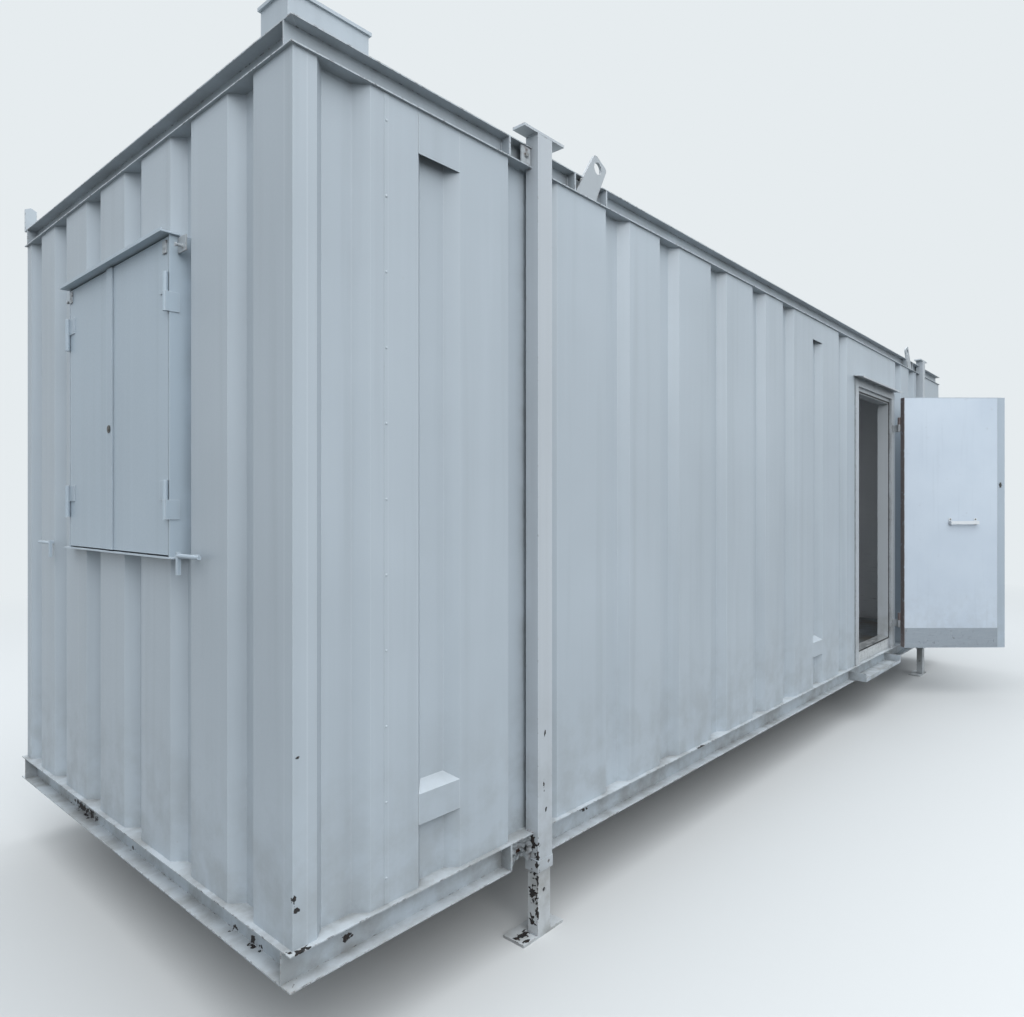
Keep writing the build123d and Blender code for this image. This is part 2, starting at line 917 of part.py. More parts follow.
# Window box that the shutters close
box_face = wall_setback - surround_proud
shutter_pin_in = box_face - shutter_knuckle - knuckle_gap
shutter_edge = window_half - surround_steel - shutter_gap
shutter_pin = shutter_edge + shutter_gap / 2
shutter_hinge_heights = (shutter_hinge_end, window_height - shutter_hinge_end)

with BuildPart() as window_surround_sides:
    for side in (-1, 1):
        inner = side * (window_half - surround_steel)
        outer = side * window_half
        slab(left, inner, outer, window_low, window_high, box_face, lining_inner)
        for height in shutter_hinge_heights:
            middle = window_low + height
            low = middle - shutter_hinge_length / 2
            high = middle + shutter_hinge_length / 2
            add(barrel(left, side * shutter_pin, shutter_pin_in, low, middle, shutter_knuckle))
            add(barrel(left, side * shutter_pin, shutter_pin_in, low, high, shutter_hinge_pin))
            slab(
                left,
                outer,
                outer + side * strap_thick,
                low,
                middle,
                shutter_pin_in - strap_thick,
                wall_setback,
            )

with BuildPart() as shutter_canopy:
    canopy_top = window_high + surround_steel
    slab(left, -window_half, window_half, window_high, canopy_top, wall_setback, lining_inner)
    canopy_end = window_half + shutter_canopy_overhang
    shutter_canopy_outer = wall_setback - shutter_canopy_reach
    slab(left, -canopy_end, canopy_end, window_high, canopy_top, shutter_canopy_outer, wall_setback)
    slab(
        left,
        -canopy_end,
        canopy_end,
        window_high,
        window_high + canopy_lip,
        shutter_canopy_outer,
        shutter_canopy_outer + surround_steel,
    )

with BuildPart() as shutter_sill:
    sill_low = window_low - surround_steel
    slab(left, -window_half, window_half, sill_low, window_low, wall_setback, lining_inner)
    sill_end = window_half + sill_overhang
    slab(left, -sill_end, sill_end, sill_low, window_low, box_face - sill_reach, wall_setback)


def shutter_leaf(side, strip):
    """Folded steel tray with its hinge knuckles, and a strip over the joint where it has one."""
    width = shutter_edge - shutter_gap / 2
    height = window_height - 2 * shutter_gap
    low = window_low + shutter_gap
    with BuildPart() as leaf:
        with BuildSketch(left.offset(low)):
            with Locations((side * (shutter_edge - width / 2), box_face + shutter_thick / 2)):
                Rectangle(width, shutter_thick)
        extrude(amount=height)
        inner_face = leaf.faces().sort_by(Axis.X)[-1]
        offset(amount=-shutter_steel, openings=inner_face)
        if strip:
            free_edge = side * (shutter_edge - width)
            slab(
                left,
                free_edge,
                free_edge + side * shutter_strip,
                low,
                low + height,
                box_face - shutter_strip_thick,
                box_face,
            )
        for centre in shutter_hinge_heights:
            start = window_low + centre + knuckle_gap
            end = window_low + centre + shutter_hinge_length / 2
            pin_hole = shutter_hinge_pin + pin_clearance
            add(barrel(left, side * shutter_pin, shutter_pin_in, start, end, shutter_knuckle))
            slab(
                left,
                side * shutter_pin,
                side * (shutter_pin - shutter_strap),
                start,
                end,
                box_face - strap_thick,
                box_face,
            )
            add(
                barrel(left, side * shutter_pin, shutter_pin_in, start, end, pin_hole),
                mode=Mode.SUBTRACT,
            )
    return leaf


shutter_left = shutter_leaf(-1, strip=True)
shutter_right = shutter_leaf(1, strip=False)

frame_out = lining_inner - frame_depth
bar_edge = window_half - surround_steel

with BuildPart() as window_frame_stiles:
    for side in (-1, 1):
        stile = (side * bar_edge, side * (bar_edge - frame_bar))
        slab(left, *stile, window_low, window_high, frame_out, lining_inner)

with BuildPart() as window_frame_rails:
    for low, high in ((window_low, window_low + frame_bar), (window_high - frame_bar, window_high)):
        slab(left, frame_bar - bar_edge, bar_edge - frame_bar, low, high, frame_out, lining_inner)

with BuildPart() as window_glass:
    glass_in = frame_out + (frame_depth - glass_thick) / 2
    slab(
        left,
        frame_bar - bar_edge,
        bar_edge - frame_bar,
        window_low + frame_bar,
        window_high - frame_bar,
        glass_in,
        glass_in + glass_thick,
    )

# Catches beside the window that hold the opened shutters: a foot, a round bar and a drop handle
with BuildPart() as shutter_catches:
    bar_in = wall_setback - catch_reach
    catch_z = window_low + catch_lift
    half_foot = catch_foot / 2
    for side, distance in ((1, near_catch), (-1, far_catch)):
        middle = side * (window_half + distance)
        bar_end = middle - side * catch_length / 2
        slab(
            left,
            middle - half_foot,
            middle + half_foot,
            catch_z - half_foot,
            catch_z + half_foot,
            bar_in,
            wall_setback,
        )
        with BuildSketch(
            Plane(origin=left.origin + Vector(0, 0, catch_z), x_dir=left.y_dir, z_dir=left.x_dir)
        ) as bar:
            with Locations((bar_in, 0)):
                Circle(catch_radius)
        extrude(
            bar.sketch.moved(Location(left.x_dir * middle)), amount=catch_length / 2, both=True
        )
        slab(
            left,
            bar_end - half_foot,
            bar_end + half_foot,
            catch_z - catch_drop,
            catch_z + catch_foot,
            bar_in - half_foot,
            bar_in + half_foot,
        )


def vent_hood(centre, low, front_top, back_top):
    """Folded plate that closes a rib flush with the wall, open below."""
    face = wall_setback
    back = face + rib_depth
    half_mouth = rib_mouth / 2 - vent_clear
    half_flat = half_mouth - rib_slope
    with BuildPart() as hood:
        with BuildSketch(
            Plane(origin=front.origin + front.x_dir * centre, x_dir=front.y_dir, z_dir=front.x_dir)
        ):
            Polygon(
                (face, low),
                (face, front_top),
                (back, back_top),
                (back, back_top - vent_steel),
                (face + vent_steel, front_top - vent_steel),
                (face + vent_steel, low),
                align=None,
            )
        extrude(amount=rib_mouth, both=True)
        with BuildSketch(front.offset(low)) as plan:
            Polygon(
                (centre - half_mouth, face),
                (centre + half_mouth, face),
                (centre + half_flat, back),
                (centre - half_flat, back),
                align=None,
            )
        extrude(plan.sketch, amount=back_top - low, mode=Mode.INTERSECT)
    return hood.part


hoods = []
for inset in vent_insets:
    rib = inset - half_length
    lower = base_z + lower_vent_level
    lower_top = lower + lower_vent_height
    hoods.append(vent_hood(rib, lower, lower_top, lower_top + lower_vent_slope))
    hoods.append(vent_hood(rib, wall_top - upper_vent_height, wall_top, wall_top))

with BuildPart() as vent_hoods:
    for hood in hoods:
        add(hood)

# Box, edge rail and bracket on the roof
with BuildPart() as roof_vent_box:
    box_corner = (box_end_inset - half_length, box_side_inset - half_width)
    box_middle = (box_corner[0] + box_length / 2, box_corner[1] + box_width / 2)
    box_bottom = roof_z + roof_rib_depth + roof_steel
    with BuildSketch(cabin.offset(box_bottom)) as box_plan:
        with Locations(box_middle):
            Rectangle(box_length, box_width)
    extrude(box_plan.sketch, amount=box_height)
    with BuildSketch(cabin.offset(box_bottom + box_height)) as lid_plan:
        with Locations(box_middle):
            Rectangle(box_length + 2 * box_overhang, box_width + 2 * box_overhang)
    extrude(lid_plan.sketch, amount=box_lid)

with BuildPart() as roof_edge_rail:
    with BuildSketch(
        Plane(
            origin=(edge_rail_start - half_length, front.origin.Y, roof_z + edge_rail_lift),
            x_dir=(0, 1, 0),
            z_dir=(1, 0, 0),
        )
    ):
        with Locations((edge_rail_inset, 0)):
            Rectangle(edge_rail_width, edge_rail_height, align=(Align.MIN, Align.MIN))
        with Locations((edge_rail_inset + edge_rail_wall, edge_rail_wall)):
            Rectangle(
                edge_rail_width - 2 * edge_rail_wall,
                edge_rail_height - 2 * edge_rail_wall,
                align=(Align.MIN, Align.MIN),
                mode=Mode.SUBTRACT,
            )
    extrude(amount=edge_rail_end - edge_rail_start)

# Each bracket stands in the roof pan nearest to its place along the rail
roof_pans = [rib + roof_rib_pitch / 2 for rib in roof_ribs]

with BuildPart() as roof_edge_brackets:
    rail_top = roof_z + edge_rail_lift + edge_rail_height
    head_low = rail_top + edge_bracket_rise - edge_bracket_steel
    pan_z = roof_z + roof_steel
    for target in edge_brackets:
        spot = min(roof_pans, key=lambda pan: abs(pan - target + half_length))
        foot = (spot - edge_bracket_width / 2, spot + edge_bracket_width / 2)
        head = (spot - edge_bracket_head / 2, spot + edge_bracket_head / 2)
        outer = edge_rail_inset - edge_bracket_steel
        inner = edge_rail_inset + edge_rail_width
        slab(front, *foot, pan_z, head_low, outer, edge_rail_inset)
        slab(front, *head, head_low, head_low + edge_bracket_steel, outer, inner)
        slab(front, *foot, pan_z, roof_z + edge_rail_lift, edge_rail_inset, inner)

# Upright plate with a peaked top and a short arm, at the rear corner above the window end
with BuildPart() as corner_bracket:
    plate_edge = half_length - roof_setback
    plate_mid = plate_edge - corner_bracket_width / 2
    plate_start = plate_edge - corner_bracket_width
    with BuildSketch(upright(rear, roof_setback)) as plate:
        Polygon(
            (plate_start, roof_z),
            (plate_edge, roof_z),
            (plate_edge, roof_z + corner_bracket_height),
            (plate_mid, roof_z + corner_bracket_height + corner_bracket_peak),
            (plate_start, roof_z + corner_bracket_height),
            align=None,
        )
    extrude(plate.sketch, amount=-corner_bracket_steel)
    arm_z = roof_z + corner_bracket_height / 2
    slab(
        rear,
        plate_start - corner_arm_length,
        plate_start,
        arm_z,
        arm_z + corner_arm_size,
        roof_setback,
        roof_setback + corner_bracket_steel,
    )

pieces = {
    "base_side_rails": base_side_rails,
    "base_end_rails": base_end_rails,
    "floor_joists": floor_joists,
    "floor_deck": floor_deck,
    "corner_posts": corner_posts,
    "front_wall_sides": front_wall_sides,
    "front_wall_over_door": front_wall_over_door,
    "rear_wall": rear_wall,
    "left_wall_sides": left_wall_sides,
    "left_wall_over_under": left_wall_over_under,
    "right_wall": right_wall,
    "front_lining_sides": front_lining_sides,
    "front_lining_over_door": front_lining_over_door,
    "rear_lining": rear_lining,
    "left_lining_sides": left_lining_sides,
    "left_lining_over_under": left_lining_over_under,
    "right_lining": right_lining,
    "roof_side_rails": roof_side_rails,
    "roof_end_rails": roof_end_rails,
    "roof_joists": roof_joists,
    "roof_sheet": roof_sheet,
    "ceiling_lining": ceiling_lining,
    "leg_sleeves": leg_sleeves,
    "rail_stiffeners": rail_stiffeners,
    "lifting_eyes": lifting_eyes,
    "door_jambs": door_jambs,
    "door_head": door_head,
    "door_threshold": door_threshold,
    "door_canopy": door_canopy,
    "door_step": door_step,
    "door_leaf": door_leaf,
    "door_inner_panel": door_inner_panel,
    "door_kick_plate": door_kick_plate,
    "door_pull_handle": door_pull_handle,
    "window_surround_sides": window_surround_sides,
    "shutter_canopy": shutter_canopy,
    "shutter_sill": shutter_sill,
    "shutter_left": shutter_left,
    "shutter_right": shutter_right,
    "window_frame_stiles": window_frame_stiles,
    "window_frame_rails": window_frame_rails,
    "window_glass": window_glass,
    "shutter_catches": shutter_catches,
    "vent_hoods": vent_hoods,
    "roof_vent_box": roof_vent_box,
    "roof_edge_rail": roof_edge_rail,
    "roof_edge_brackets": roof_edge_brackets,
    "corner_bracket": corner_bracket,
    **jack_legs,
}

os.makedirs("parts", exist_ok=True)
for label, piece in pieces.items():
    piece.part.label = label
    export_step(piece.part, f"parts/{label}.step")
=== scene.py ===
# %% [markdown]
# # Portable site cabin
# A grey painted steel cabin on four jack legs, with one door open. Its shape comes from the
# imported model, which holds every piece in its place. This lesson dresses it: each piece gets the
# finish of the real one, then the small things go on, such as weld beads, bolts and seals.

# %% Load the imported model
import json
from math import cos, pi, radians, sin
from random import Random

import bmesh
import bpy
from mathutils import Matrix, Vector


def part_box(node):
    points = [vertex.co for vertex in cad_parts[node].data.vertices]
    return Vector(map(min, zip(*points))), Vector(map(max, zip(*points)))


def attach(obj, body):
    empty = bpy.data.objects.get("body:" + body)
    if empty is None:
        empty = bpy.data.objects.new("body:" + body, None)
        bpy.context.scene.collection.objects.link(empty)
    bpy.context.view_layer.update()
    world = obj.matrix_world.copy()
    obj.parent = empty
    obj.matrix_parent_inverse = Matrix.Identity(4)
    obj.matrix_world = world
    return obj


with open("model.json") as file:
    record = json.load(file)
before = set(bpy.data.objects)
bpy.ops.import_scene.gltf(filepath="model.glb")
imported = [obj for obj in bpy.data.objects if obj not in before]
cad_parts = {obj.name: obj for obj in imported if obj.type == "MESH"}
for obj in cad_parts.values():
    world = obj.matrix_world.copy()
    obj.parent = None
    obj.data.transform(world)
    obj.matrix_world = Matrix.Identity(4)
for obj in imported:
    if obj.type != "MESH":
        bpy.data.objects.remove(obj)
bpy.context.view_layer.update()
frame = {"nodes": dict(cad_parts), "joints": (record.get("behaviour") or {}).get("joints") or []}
nodes = frame["nodes"]
scene = bpy.context.scene
print("pieces in the packed model:", len(nodes))

# %% [markdown]
# ## Reference lines
# Everything that is added later has to touch the steel that carries it. So the main lines of the
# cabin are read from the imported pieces, and each addition is placed from them in metres. Inward
# distances are counted from the flange tips of the base rails.

# %% Read the main lines from the pieces
BASE_LOW, BASE_HIGH = (Vector(corner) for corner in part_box("base_side_rails"))
LENGTH = BASE_HIGH.x - BASE_LOW.x
MIDDLE_Y = (BASE_LOW.y + BASE_HIGH.y) / 2
WALL_IN = 0.018
LEG_LEFT, LEG_RIGHT = 1.021, LENGTH - 0.775
LEGS = {"front_left": (LEG_LEFT, 0), "front_right": (LEG_RIGHT, 0)}
LEGS.update({"rear_left": (LEG_LEFT, 1), "rear_right": (LEG_RIGHT, 1)})
OUTWARD = ((0, -1, 0), (0, 1, 0))
print("over the rails: %.3f by %.3f m" % (LENGTH, BASE_HIGH.y - BASE_LOW.y))


def on_side(along, inward, height, rear=0):
    """A place on a long side, from its left end and in from the flange tips."""
    y = BASE_HIGH.y - inward if rear else BASE_LOW.y + inward
    return Vector((BASE_LOW.x + along, y, height))


def on_end(across, inward, height):
    """A place on the window end, from its near corner and in from the flange tips."""
    return Vector((BASE_LOW.x + inward, BASE_LOW.y + across, height))


def toward_end(along):
    """-1 in the left half of a long side and 1 in the right half."""
    return -1 if along < LENGTH / 2 else 1


# %% [markdown]
# ## Camera
# The view is that of a small camera held level at about 1.6 m, near the corner. A short lens
# makes both long edges of the roof run away fast. The spot is measured from the near corner of
# the base, so it follows the cabin. A small shift stands for the crop of the picture.

# %% Set up the camera
camera_data = bpy.data.cameras.new("camera")
camera_data.sensor_width = 36.0
camera_data.lens = 25.62
camera_data.shift_x = -0.0377
camera_data.shift_y = -0.002
camera_data.clip_end = 200.0
camera = bpy.data.objects.new("camera", camera_data)
camera.location = (BASE_LOW.x - 1.037, BASE_LOW.y - 1.793, 1.598)
camera.rotation_euler = (pi / 2, 0.0, radians(40.28) - pi / 2)
scene.collection.objects.link(camera)
scene.camera = camera
print("camera at", [round(value, 3) for value in camera.location])

# %% [markdown]
# ## Colours and nodes
# Paint colours are written as sRGB hex values, as a picture editor shows them. Shaders work in
# linear light, so one function turns them over. A second one adds a shader node. Plain values
# fill or link its inputs in order, and capital names say which. Small names are its settings. The
# last one lays colours over each other in the order in which paint, dirt and rust come on.

# %% Helpers for colours and shader nodes


def colour(hex_code):
    """sRGB hex value to linear red, green, blue and alpha."""
    values = [int(hex_code[i : i + 2], 16) / 255 for i in (1, 3, 5)]
    linear = [v / 12.92 if v <= 0.04045 else ((v + 0.055) / 1.055) ** 2.4 for v in values]
    return (*linear, 1.0)


def add_node(tree, kind, *values, **named):
    """Adds a node and returns its first output. Lower case names are its settings."""
    node = tree.nodes.new("ShaderNode" + kind)
    for key in [key for key in named if key.islower()]:
        setattr(node, key, named.pop(key))
    sockets = [socket for socket in node.inputs if socket.enabled]
    places = {socket.name: socket for socket in reversed(sockets)}
    given = list(zip(sockets, values))
    given += [(places[key.replace("_", " ")], value) for key, value in named.items()]
    for socket, value in given:
        if isinstance(value, bpy.types.NodeSocket):
            tree.links.new(value, socket)
        else:
            socket.default_value = value
    return next((socket for socket in node.outputs if socket.enabled), node)


def new_material(name, roughness=0.5, metallic=0.0):
    """A material with its tree, its shader, and the place on the object in metres."""
    material = bpy.data.materials.new(name)
    material.use_nodes = True
    tree = material.node_tree
    shader = tree.nodes["Principled BSDF"]
    shader.inputs["Roughness"].default_value = roughness
    shader.inputs["Metallic"].default_value = metallic
    place = add_node(tree, "TexCoord").node.outputs["Object"]
    return material, tree, shader, place


def feed(shader, **results):
    """Links results to the shader's inputs of the same names."""
    for name, result in results.items():
        shader.id_data.links.new(result, shader.inputs[name.replace("_", " ")])


def weathered(tree, shade, *layers):
    """Lays wear over a colour. A layer is a mask, how much it hides if not all, and a colour."""
    for mask, *share, tint in layers:
        if share:
            mask = add_node(tree, "Math", mask, *share, operation="MULTIPLY")
        shade, tint = (colour(c) if isinstance(c, str) else c for c in (shade, tint))
        shade = add_node(tree, "Mix", mask, shade, tint, data_type="RGBA")
    return shade


print("linear grey of #808080: %.3f" % colour("#808080")[0])

# %% [markdown]
# ## Wear on painted steel
# Real wear isn't spread evenly. Paint thins and goes pale on folded edges, which also carry a
# painted highlight, chips where things knock it, and holds dirt near the ground. Corners are
# darkened with painted shade and some dirt. Photographs pinned on the mesh could show that, but
# nodes do it at any size: the Bevel node finds edges, Ambient Occlusion finds corners, and height
# finds the splash line.

# %% Masks for edges and corners


def edge_mask(tree, radius):
    """1 on sharp edges, within about this many metres."""
    rounded = add_node(tree, "Bevel", Radius=radius, samples=4)
    flat = add_node(tree, "NewGeometry").node.outputs["Normal"]
    match = add_node(tree, "VectorMath", rounded, flat, operation="DOT_PRODUCT")
    return add_node(tree, "MapRange", match, 0.99, 0.80)


# Ambient Occlusion darkness, which the finishes use to paint shade into corners
def corner_shade_and_dirt(tree, distance):
    """1 deep in corners, within about this many metres."""
    open_air = add_node(tree, "AmbientOcclusion", Distance=distance, samples=4).node.outputs["AO"]
    return add_node(tree, "MapRange", open_air, 0.85, 0.25)


print("masks ready: edges and corners")

# %% [markdown]
# ## Knocks at known places
# A few knocks sit where a lorry or a forklift met the cabin: on the corner post, along the window
# end's rail and low on the jack leg. Each is an ellipsoid in space, and noise bends its outline
# into a ragged chip.

# %% Mask for knocks


def knock_mask(tree, place, knocks):
    """1 inside any of the ragged spots, each given as its centre and its size along x, y and z."""
    wobble = add_node(tree, "TexNoise", place, Scale=70.0, Detail=5.0)
    wobble = add_node(tree, "MapRange", wobble, 0.3, 0.7, -1.0, 1.0)
    total = 0.0
    for centre, size in knocks:
        away = add_node(tree, "VectorMath", place, centre, operation="SUBTRACT")
        away = add_node(tree, "VectorMath", away, size, operation="DIVIDE")
        away = add_node(tree, "VectorMath", away, operation="LENGTH")
        ragged = add_node(tree, "Math", away, wobble, operation="ADD")
        inside = add_node(tree, "MapRange", ragged, 1.0, 0.9)
        total = add_node(tree, "Math", total, inside, operation="MAXIMUM")
    return total


# %% [markdown]
# ## Alkyd enamel sprayed on folded steel
# Nearly the whole cabin has one paint: a grey semi-gloss enamel sprayed over primer. It shows a
# faint orange peel, slow shading where the thin sheet isn't quite flat, and rain streaks. One
# function makes it, with the wear as settings, because a rail gets far more knocks than a wall.
# Real orange peel is 2 to 4 mm wide. It is drawn 8 mm wide here, or it wouldn't show.

# %% The paint


def painted_steel(name, paint, chips, grime_and_shade, rust=0.5, edge=0.35, knocks=()):
    """Sprayed enamel on steel. chips, grime, rust and edge each run from 0 to 1."""
    material, tree, shader, place = new_material(name)
    tone = add_node(tree, "TexNoise", place, Scale=0.9, Detail=3.0)
    peel = add_node(tree, "TexNoise", place, Scale=125.0)
    patch = add_node(tree, "TexNoise", place, Scale=7.0, Detail=5.0, Roughness=0.6)
    grit = add_node(tree, "TexNoise", place, Scale=58.0, Detail=5.0, Roughness=0.62)
    tall = add_node(tree, "VectorMath", place, (17.0, 17.0, 0.55), operation="MULTIPLY")
    streak = add_node(tree, "TexNoise", tall, Scale=1.0, Detail=3.0)
    edges = edge_mask(tree, 0.005)
    height = add_node(tree, "SeparateXYZ", place).node.outputs["Z"]

    # Chips start where grit and edge meet, and rust creeps out from under them
    knock = add_node(tree, "Math", edges, 0.22 * chips, grit, operation="MULTIPLY_ADD")
    if knocks:
        hits = knock_mask(tree, place, knocks)
        knock = add_node(tree, "Math", hits, 0.5, knock, operation="MULTIPLY_ADD")
    limit = 0.80 - 0.05 * chips
    bare = add_node(tree, "MapRange", knock, limit, limit + 0.02)
    halo = add_node(tree, "MapRange", knock, limit - 0.05, limit)

    # Tops get a painted highlight, mud splashes the foot, and corners get painted shade and dirt
    facing = add_node(tree, "NewGeometry").node.outputs["Normal"]
    facing_up = add_node(tree, "SeparateXYZ", facing).node.outputs["Z"]
    splash = add_node(tree, "MapRange", height, 0.95, 0.20)
    muddy = add_node(tree, "MapRange", patch, 0.42, 0.64)
    muddy = add_node(tree, "Math", splash, muddy, operation="MULTIPLY")
    shade_and_dirt_share = add_node(tree, "MapRange", patch, 0.30, 0.62, 0.0, 0.85 * grime_and_shade)

    # Colour: clean paint, painted highlight on tops and worn edges, dirt, painted shade, rust,
    # bare metal
    base = Vector(colour(paint)[:3])
    darker, lighter, wet, dry = ((*(base * f), 1.0) for f in (0.93, 1.05, 0.72, 1.14))
    brown = add_node(tree, "MapRange", peel, 0.45, 0.75)
    shade = weathered(
        tree,
        darker,
        (add_node(tree, "MapRange", tone, 0.3, 0.7), lighter),
        (add_node(tree, "MapRange", streak, 0.54, 0.80), 0.30, wet),
        (add_node(tree, "MapRange", streak, 0.44, 0.20), 0.30, dry),
        (add_node(tree, "MapRange", facing_up, 0.70, 0.95), 0.5, "#D3D9DD"),
        (edges, edge, "#D3DADF"),
        (muddy, 0.75 * grime_and_shade, "#6F6A60"),
        (corner_shade_and_dirt(tree, 0.07), shade_and_dirt_share, "#4B4A46"),
        (halo, rust, "#7C4F33"),
        (bare, weathered(tree, "#17181A", (brown, "#35261F"))),
    )

    # Chips and dirt are duller than paint
    dull = add_node(tree, "MapRange", peel, 0.3, 0.7, 0.37, 0.50)
    dull = add_node(tree, "Math", bare, 0.3, dull, operation="MULTIPLY_ADD")
    dull = add_node(tree, "Math", muddy, 0.3 * grime_and_shade, dull, operation="MULTIPLY_ADD")

    # Three heights: orange peel, the slow wave of thin sheet, and the depth of a chip
    wave = add_node(tree, "TexNoise", place, Scale=2.6, Detail=1.0)
    bump = add_node(tree, "Bump", Strength=0.22, Distance=0.0008, Height=peel)
    bump = add_node(tree, "Bump", Strength=0.35, Distance=0.010, Height=wave, Normal=bump)
    bump = add_node(
        tree, "Bump", Strength=0.6, Distance=0.0015, Height=halo, Normal=bump, invert=True
    )
    feed(shader, Base_Color=shade, Roughness=dull, Normal=bump)
    return material


POST_KNOCKS = (
    (on_side(0.022, 0.018, 0.527), (0.004, 0.010, 0.011)),
    (on_side(0.031, 0.018, 0.495), (0.006, 0.008, 0.007)),
    (on_side(0.030, 0.018, 0.912), (0.007, 0.008, 0.003)),
)
RAIL_KNOCKS = (
    (on_end(1.722, 0.046, 0.310), (0.012, 0.125, 0.015)),
    (on_end(1.201, 0.046, 0.302), (0.010, 0.014, 0.006)),
    (on_end(0.396, 0.044, 0.301), (0.010, 0.016, 0.007)),
    (on_end(0.286, 0.044, 0.303), (0.012, 0.016, 0.012)),
    (on_end(0.243, 0.044, 0.301), (0.010, 0.010, 0.007)),
    (on_side(0.035, 0.0, 0.392), (0.030, 0.020, 0.006)),
    (on_side(0.21, 0.048, 0.335), (0.016, 0.010, 0.010)),
    (on_side(1.35, 0.048, 0.350), (0.020, 0.010, 0.009)),
    (on_side(2.25, 0.0, 0.388), (0.040, 0.008, 0.005)),
)
wall_paint = painted_steel(
    "enamel_on_wall_sheet", "#A9B3BB", chips=0.10, grime_and_shade=0.45, knocks=POST_KNOCKS
)
rail_paint = painted_steel(
    "enamel_on_rolled_channel", "#A6AFB6",
    chips=0.85, grime_and_shade=0.65, rust=0.6, edge=0.5, knocks=RAIL_KNOCKS,
)
print("paint on sheet and rails, chips at", len(POST_KNOCKS) + len(RAIL_KNOCKS), "known places")

# %% [markdown]
# The same enamel is on the legs, doors and window box, and each wears in its own way. The sleeve
# and the leg behind it scrape on lorries, so they chip down to rust at the foot. The door frame is
# rubbed by hands and boots.

# %% Paint on the moving and handled parts
SLEEVE_KNOCKS = tuple(
    (on_side(LEG_LEFT + along, inward, height), size)
    for along, inward, height, size in (
        (-0.040, -0.020, 0.315, (0.006, 0.010, 0.050)),
        (-0.040, 0.000, 0.352, (0.008, 0.020, 0.022)),
        (-0.036, -0.018, 0.215, (0.005, 0.008, 0.050)),
        (-0.035, 0.004, 0.265, (0.004, 0.012, 0.040)),
        (-0.035, 0.008, 0.160, (0.004, 0.016, 0.026)),
        (-0.035, -0.014, 0.100, (0.006, 0.008, 0.030)),
        (-0.035, 0.012, 0.060, (0.006, 0.012, 0.018)),
        (-0.070, 0.030, 0.010, (0.030, 0.014, 0.004)),
        (-0.085, -0.004, 0.010, (0.014, 0.010, 0.004)),
        (-0.006, -0.022, 0.560, (0.004, 0.010, 0.020)),
        (0.004, -0.022, 0.470, (0.005, 0.010, 0.008)),
        (0.000, -0.022, 0.760, (0.004, 0.010, 0.012)),
    )
)
sleeve_paint = painted_steel(
    "enamel_on_box_section", "#B2B9BF",
    chips=0.65, grime_and_shade=0.5, rust=0.7, edge=0.45, knocks=SLEEVE_KNOCKS,
)
leg_paint = painted_steel(
    "worn_enamel_on_leg_tube", "#BABFC2",
    chips=0.9, grime_and_shade=0.6, rust=0.8, edge=0.7, knocks=SLEEVE_KNOCKS,
)
door_paint = painted_steel("enamel_on_door_leaf", "#A7B3BE", chips=0.35, grime_and_shade=0.45, edge=0.4)
frame_paint = painted_steel(
    "enamel_on_door_frame", "#AFB5BA", chips=0.85, grime_and_shade=0.8, rust=0.8, edge=0.5
)
shutter_paint = painted_steel("enamel_on_shutter_tray", "#A8B6C1", chips=0.3, grime_and_shade=0.3, edge=0.45)
lifting_paint = painted_steel(
    "enamel_on_lifting_plate", "#A2A9AE", chips=0.9, grime_and_shade=0.7, rust=0.8, edge=0.5
)
print("six more paints")

# %% [markdown]
# ## Hot dip galvanised roof
# Zinc freezes on the steel in spangles, flat crystals 10 to 20 mm wide that each catch the light
# in their own way. Out of doors they go matt and pale, and the valleys are darkened with painted
# shade. A Voronoi pattern gives each crystal its own grey.

# %% Galvanised sheet
zinc, tree, shader, place = new_material("galvanised_sheet_weathered", 0.5, 1.0)
crystals = add_node(tree, "TexVoronoi", place, Scale=62.0).node.outputs["Color"]
grey, tilt, _ = add_node(tree, "SeparateColor", crystals).node.outputs
cloud = add_node(tree, "TexNoise", place, Scale=3.5, Detail=6.0, Roughness=0.62)
chalk = add_node(tree, "MapRange", cloud, 0.42, 0.62)
# Valleys found by Ambient Occlusion are darkened: painted shade
shade = weathered(
    tree,
    "#8F9698",
    (grey, "#B9BFC1"),
    (chalk, 0.65, "#A7ACAD"),
    (corner_shade_and_dirt(tree, 0.10), 0.75, "#59564F"),
)
bright = add_node(tree, "MapRange", chalk, 0.0, 1.0, 0.75, 0.25)
dull = add_node(tree, "MapRange", tilt, 0.0, 1.0, 0.32, 0.50)
dull = add_node(tree, "Math", chalk, 0.22, dull, operation="MULTIPLY_ADD")
bump = add_node(tree, "Bump", Strength=0.2, Distance=0.0006, Height=tilt)
feed(shader, Base_Color=shade, Metallic=bright, Roughness=dull, Normal=bump)
print("spangles 16 mm wide")

# %% [markdown]
# ## Red oxide primer on the joists
# The joists are only primed, with a brush. It is dead matt, brown, and grey with dust on top.
# Brush marks run along the joist.

# %% Primer
primer, tree, shader, place = new_material("red_oxide_primer_brushed", 0.85)
stroke = add_node(tree, "VectorMath", place, (160.0, 6.0, 160.0), operation="MULTIPLY")
brush = add_node(tree, "TexNoise", stroke, Scale=1.0, Detail=3.0)
patch = add_node(tree, "TexNoise", place, Scale=5.0, Detail=5.0)
# The paler edges are a painted highlight
shade = weathered(
    tree,
    "#4A3029",
    (add_node(tree, "MapRange", brush, 0.3, 0.7), "#5D3D33"),
    (add_node(tree, "MapRange", patch, 0.45, 0.75), 0.7, "#6A655D"),
    (edge_mask(tree, 0.004), 0.4, "#7D7771"),
)
dull = add_node(tree, "MapRange", brush, 0.3, 0.7, 0.78, 0.92)
bump = add_node(tree, "Bump", Strength=0.3, Distance=0.001, Height=brush)
feed(shader, Base_Color=shade, Roughness=dull, Normal=bump)
print("primer with brush marks 6 mm wide")
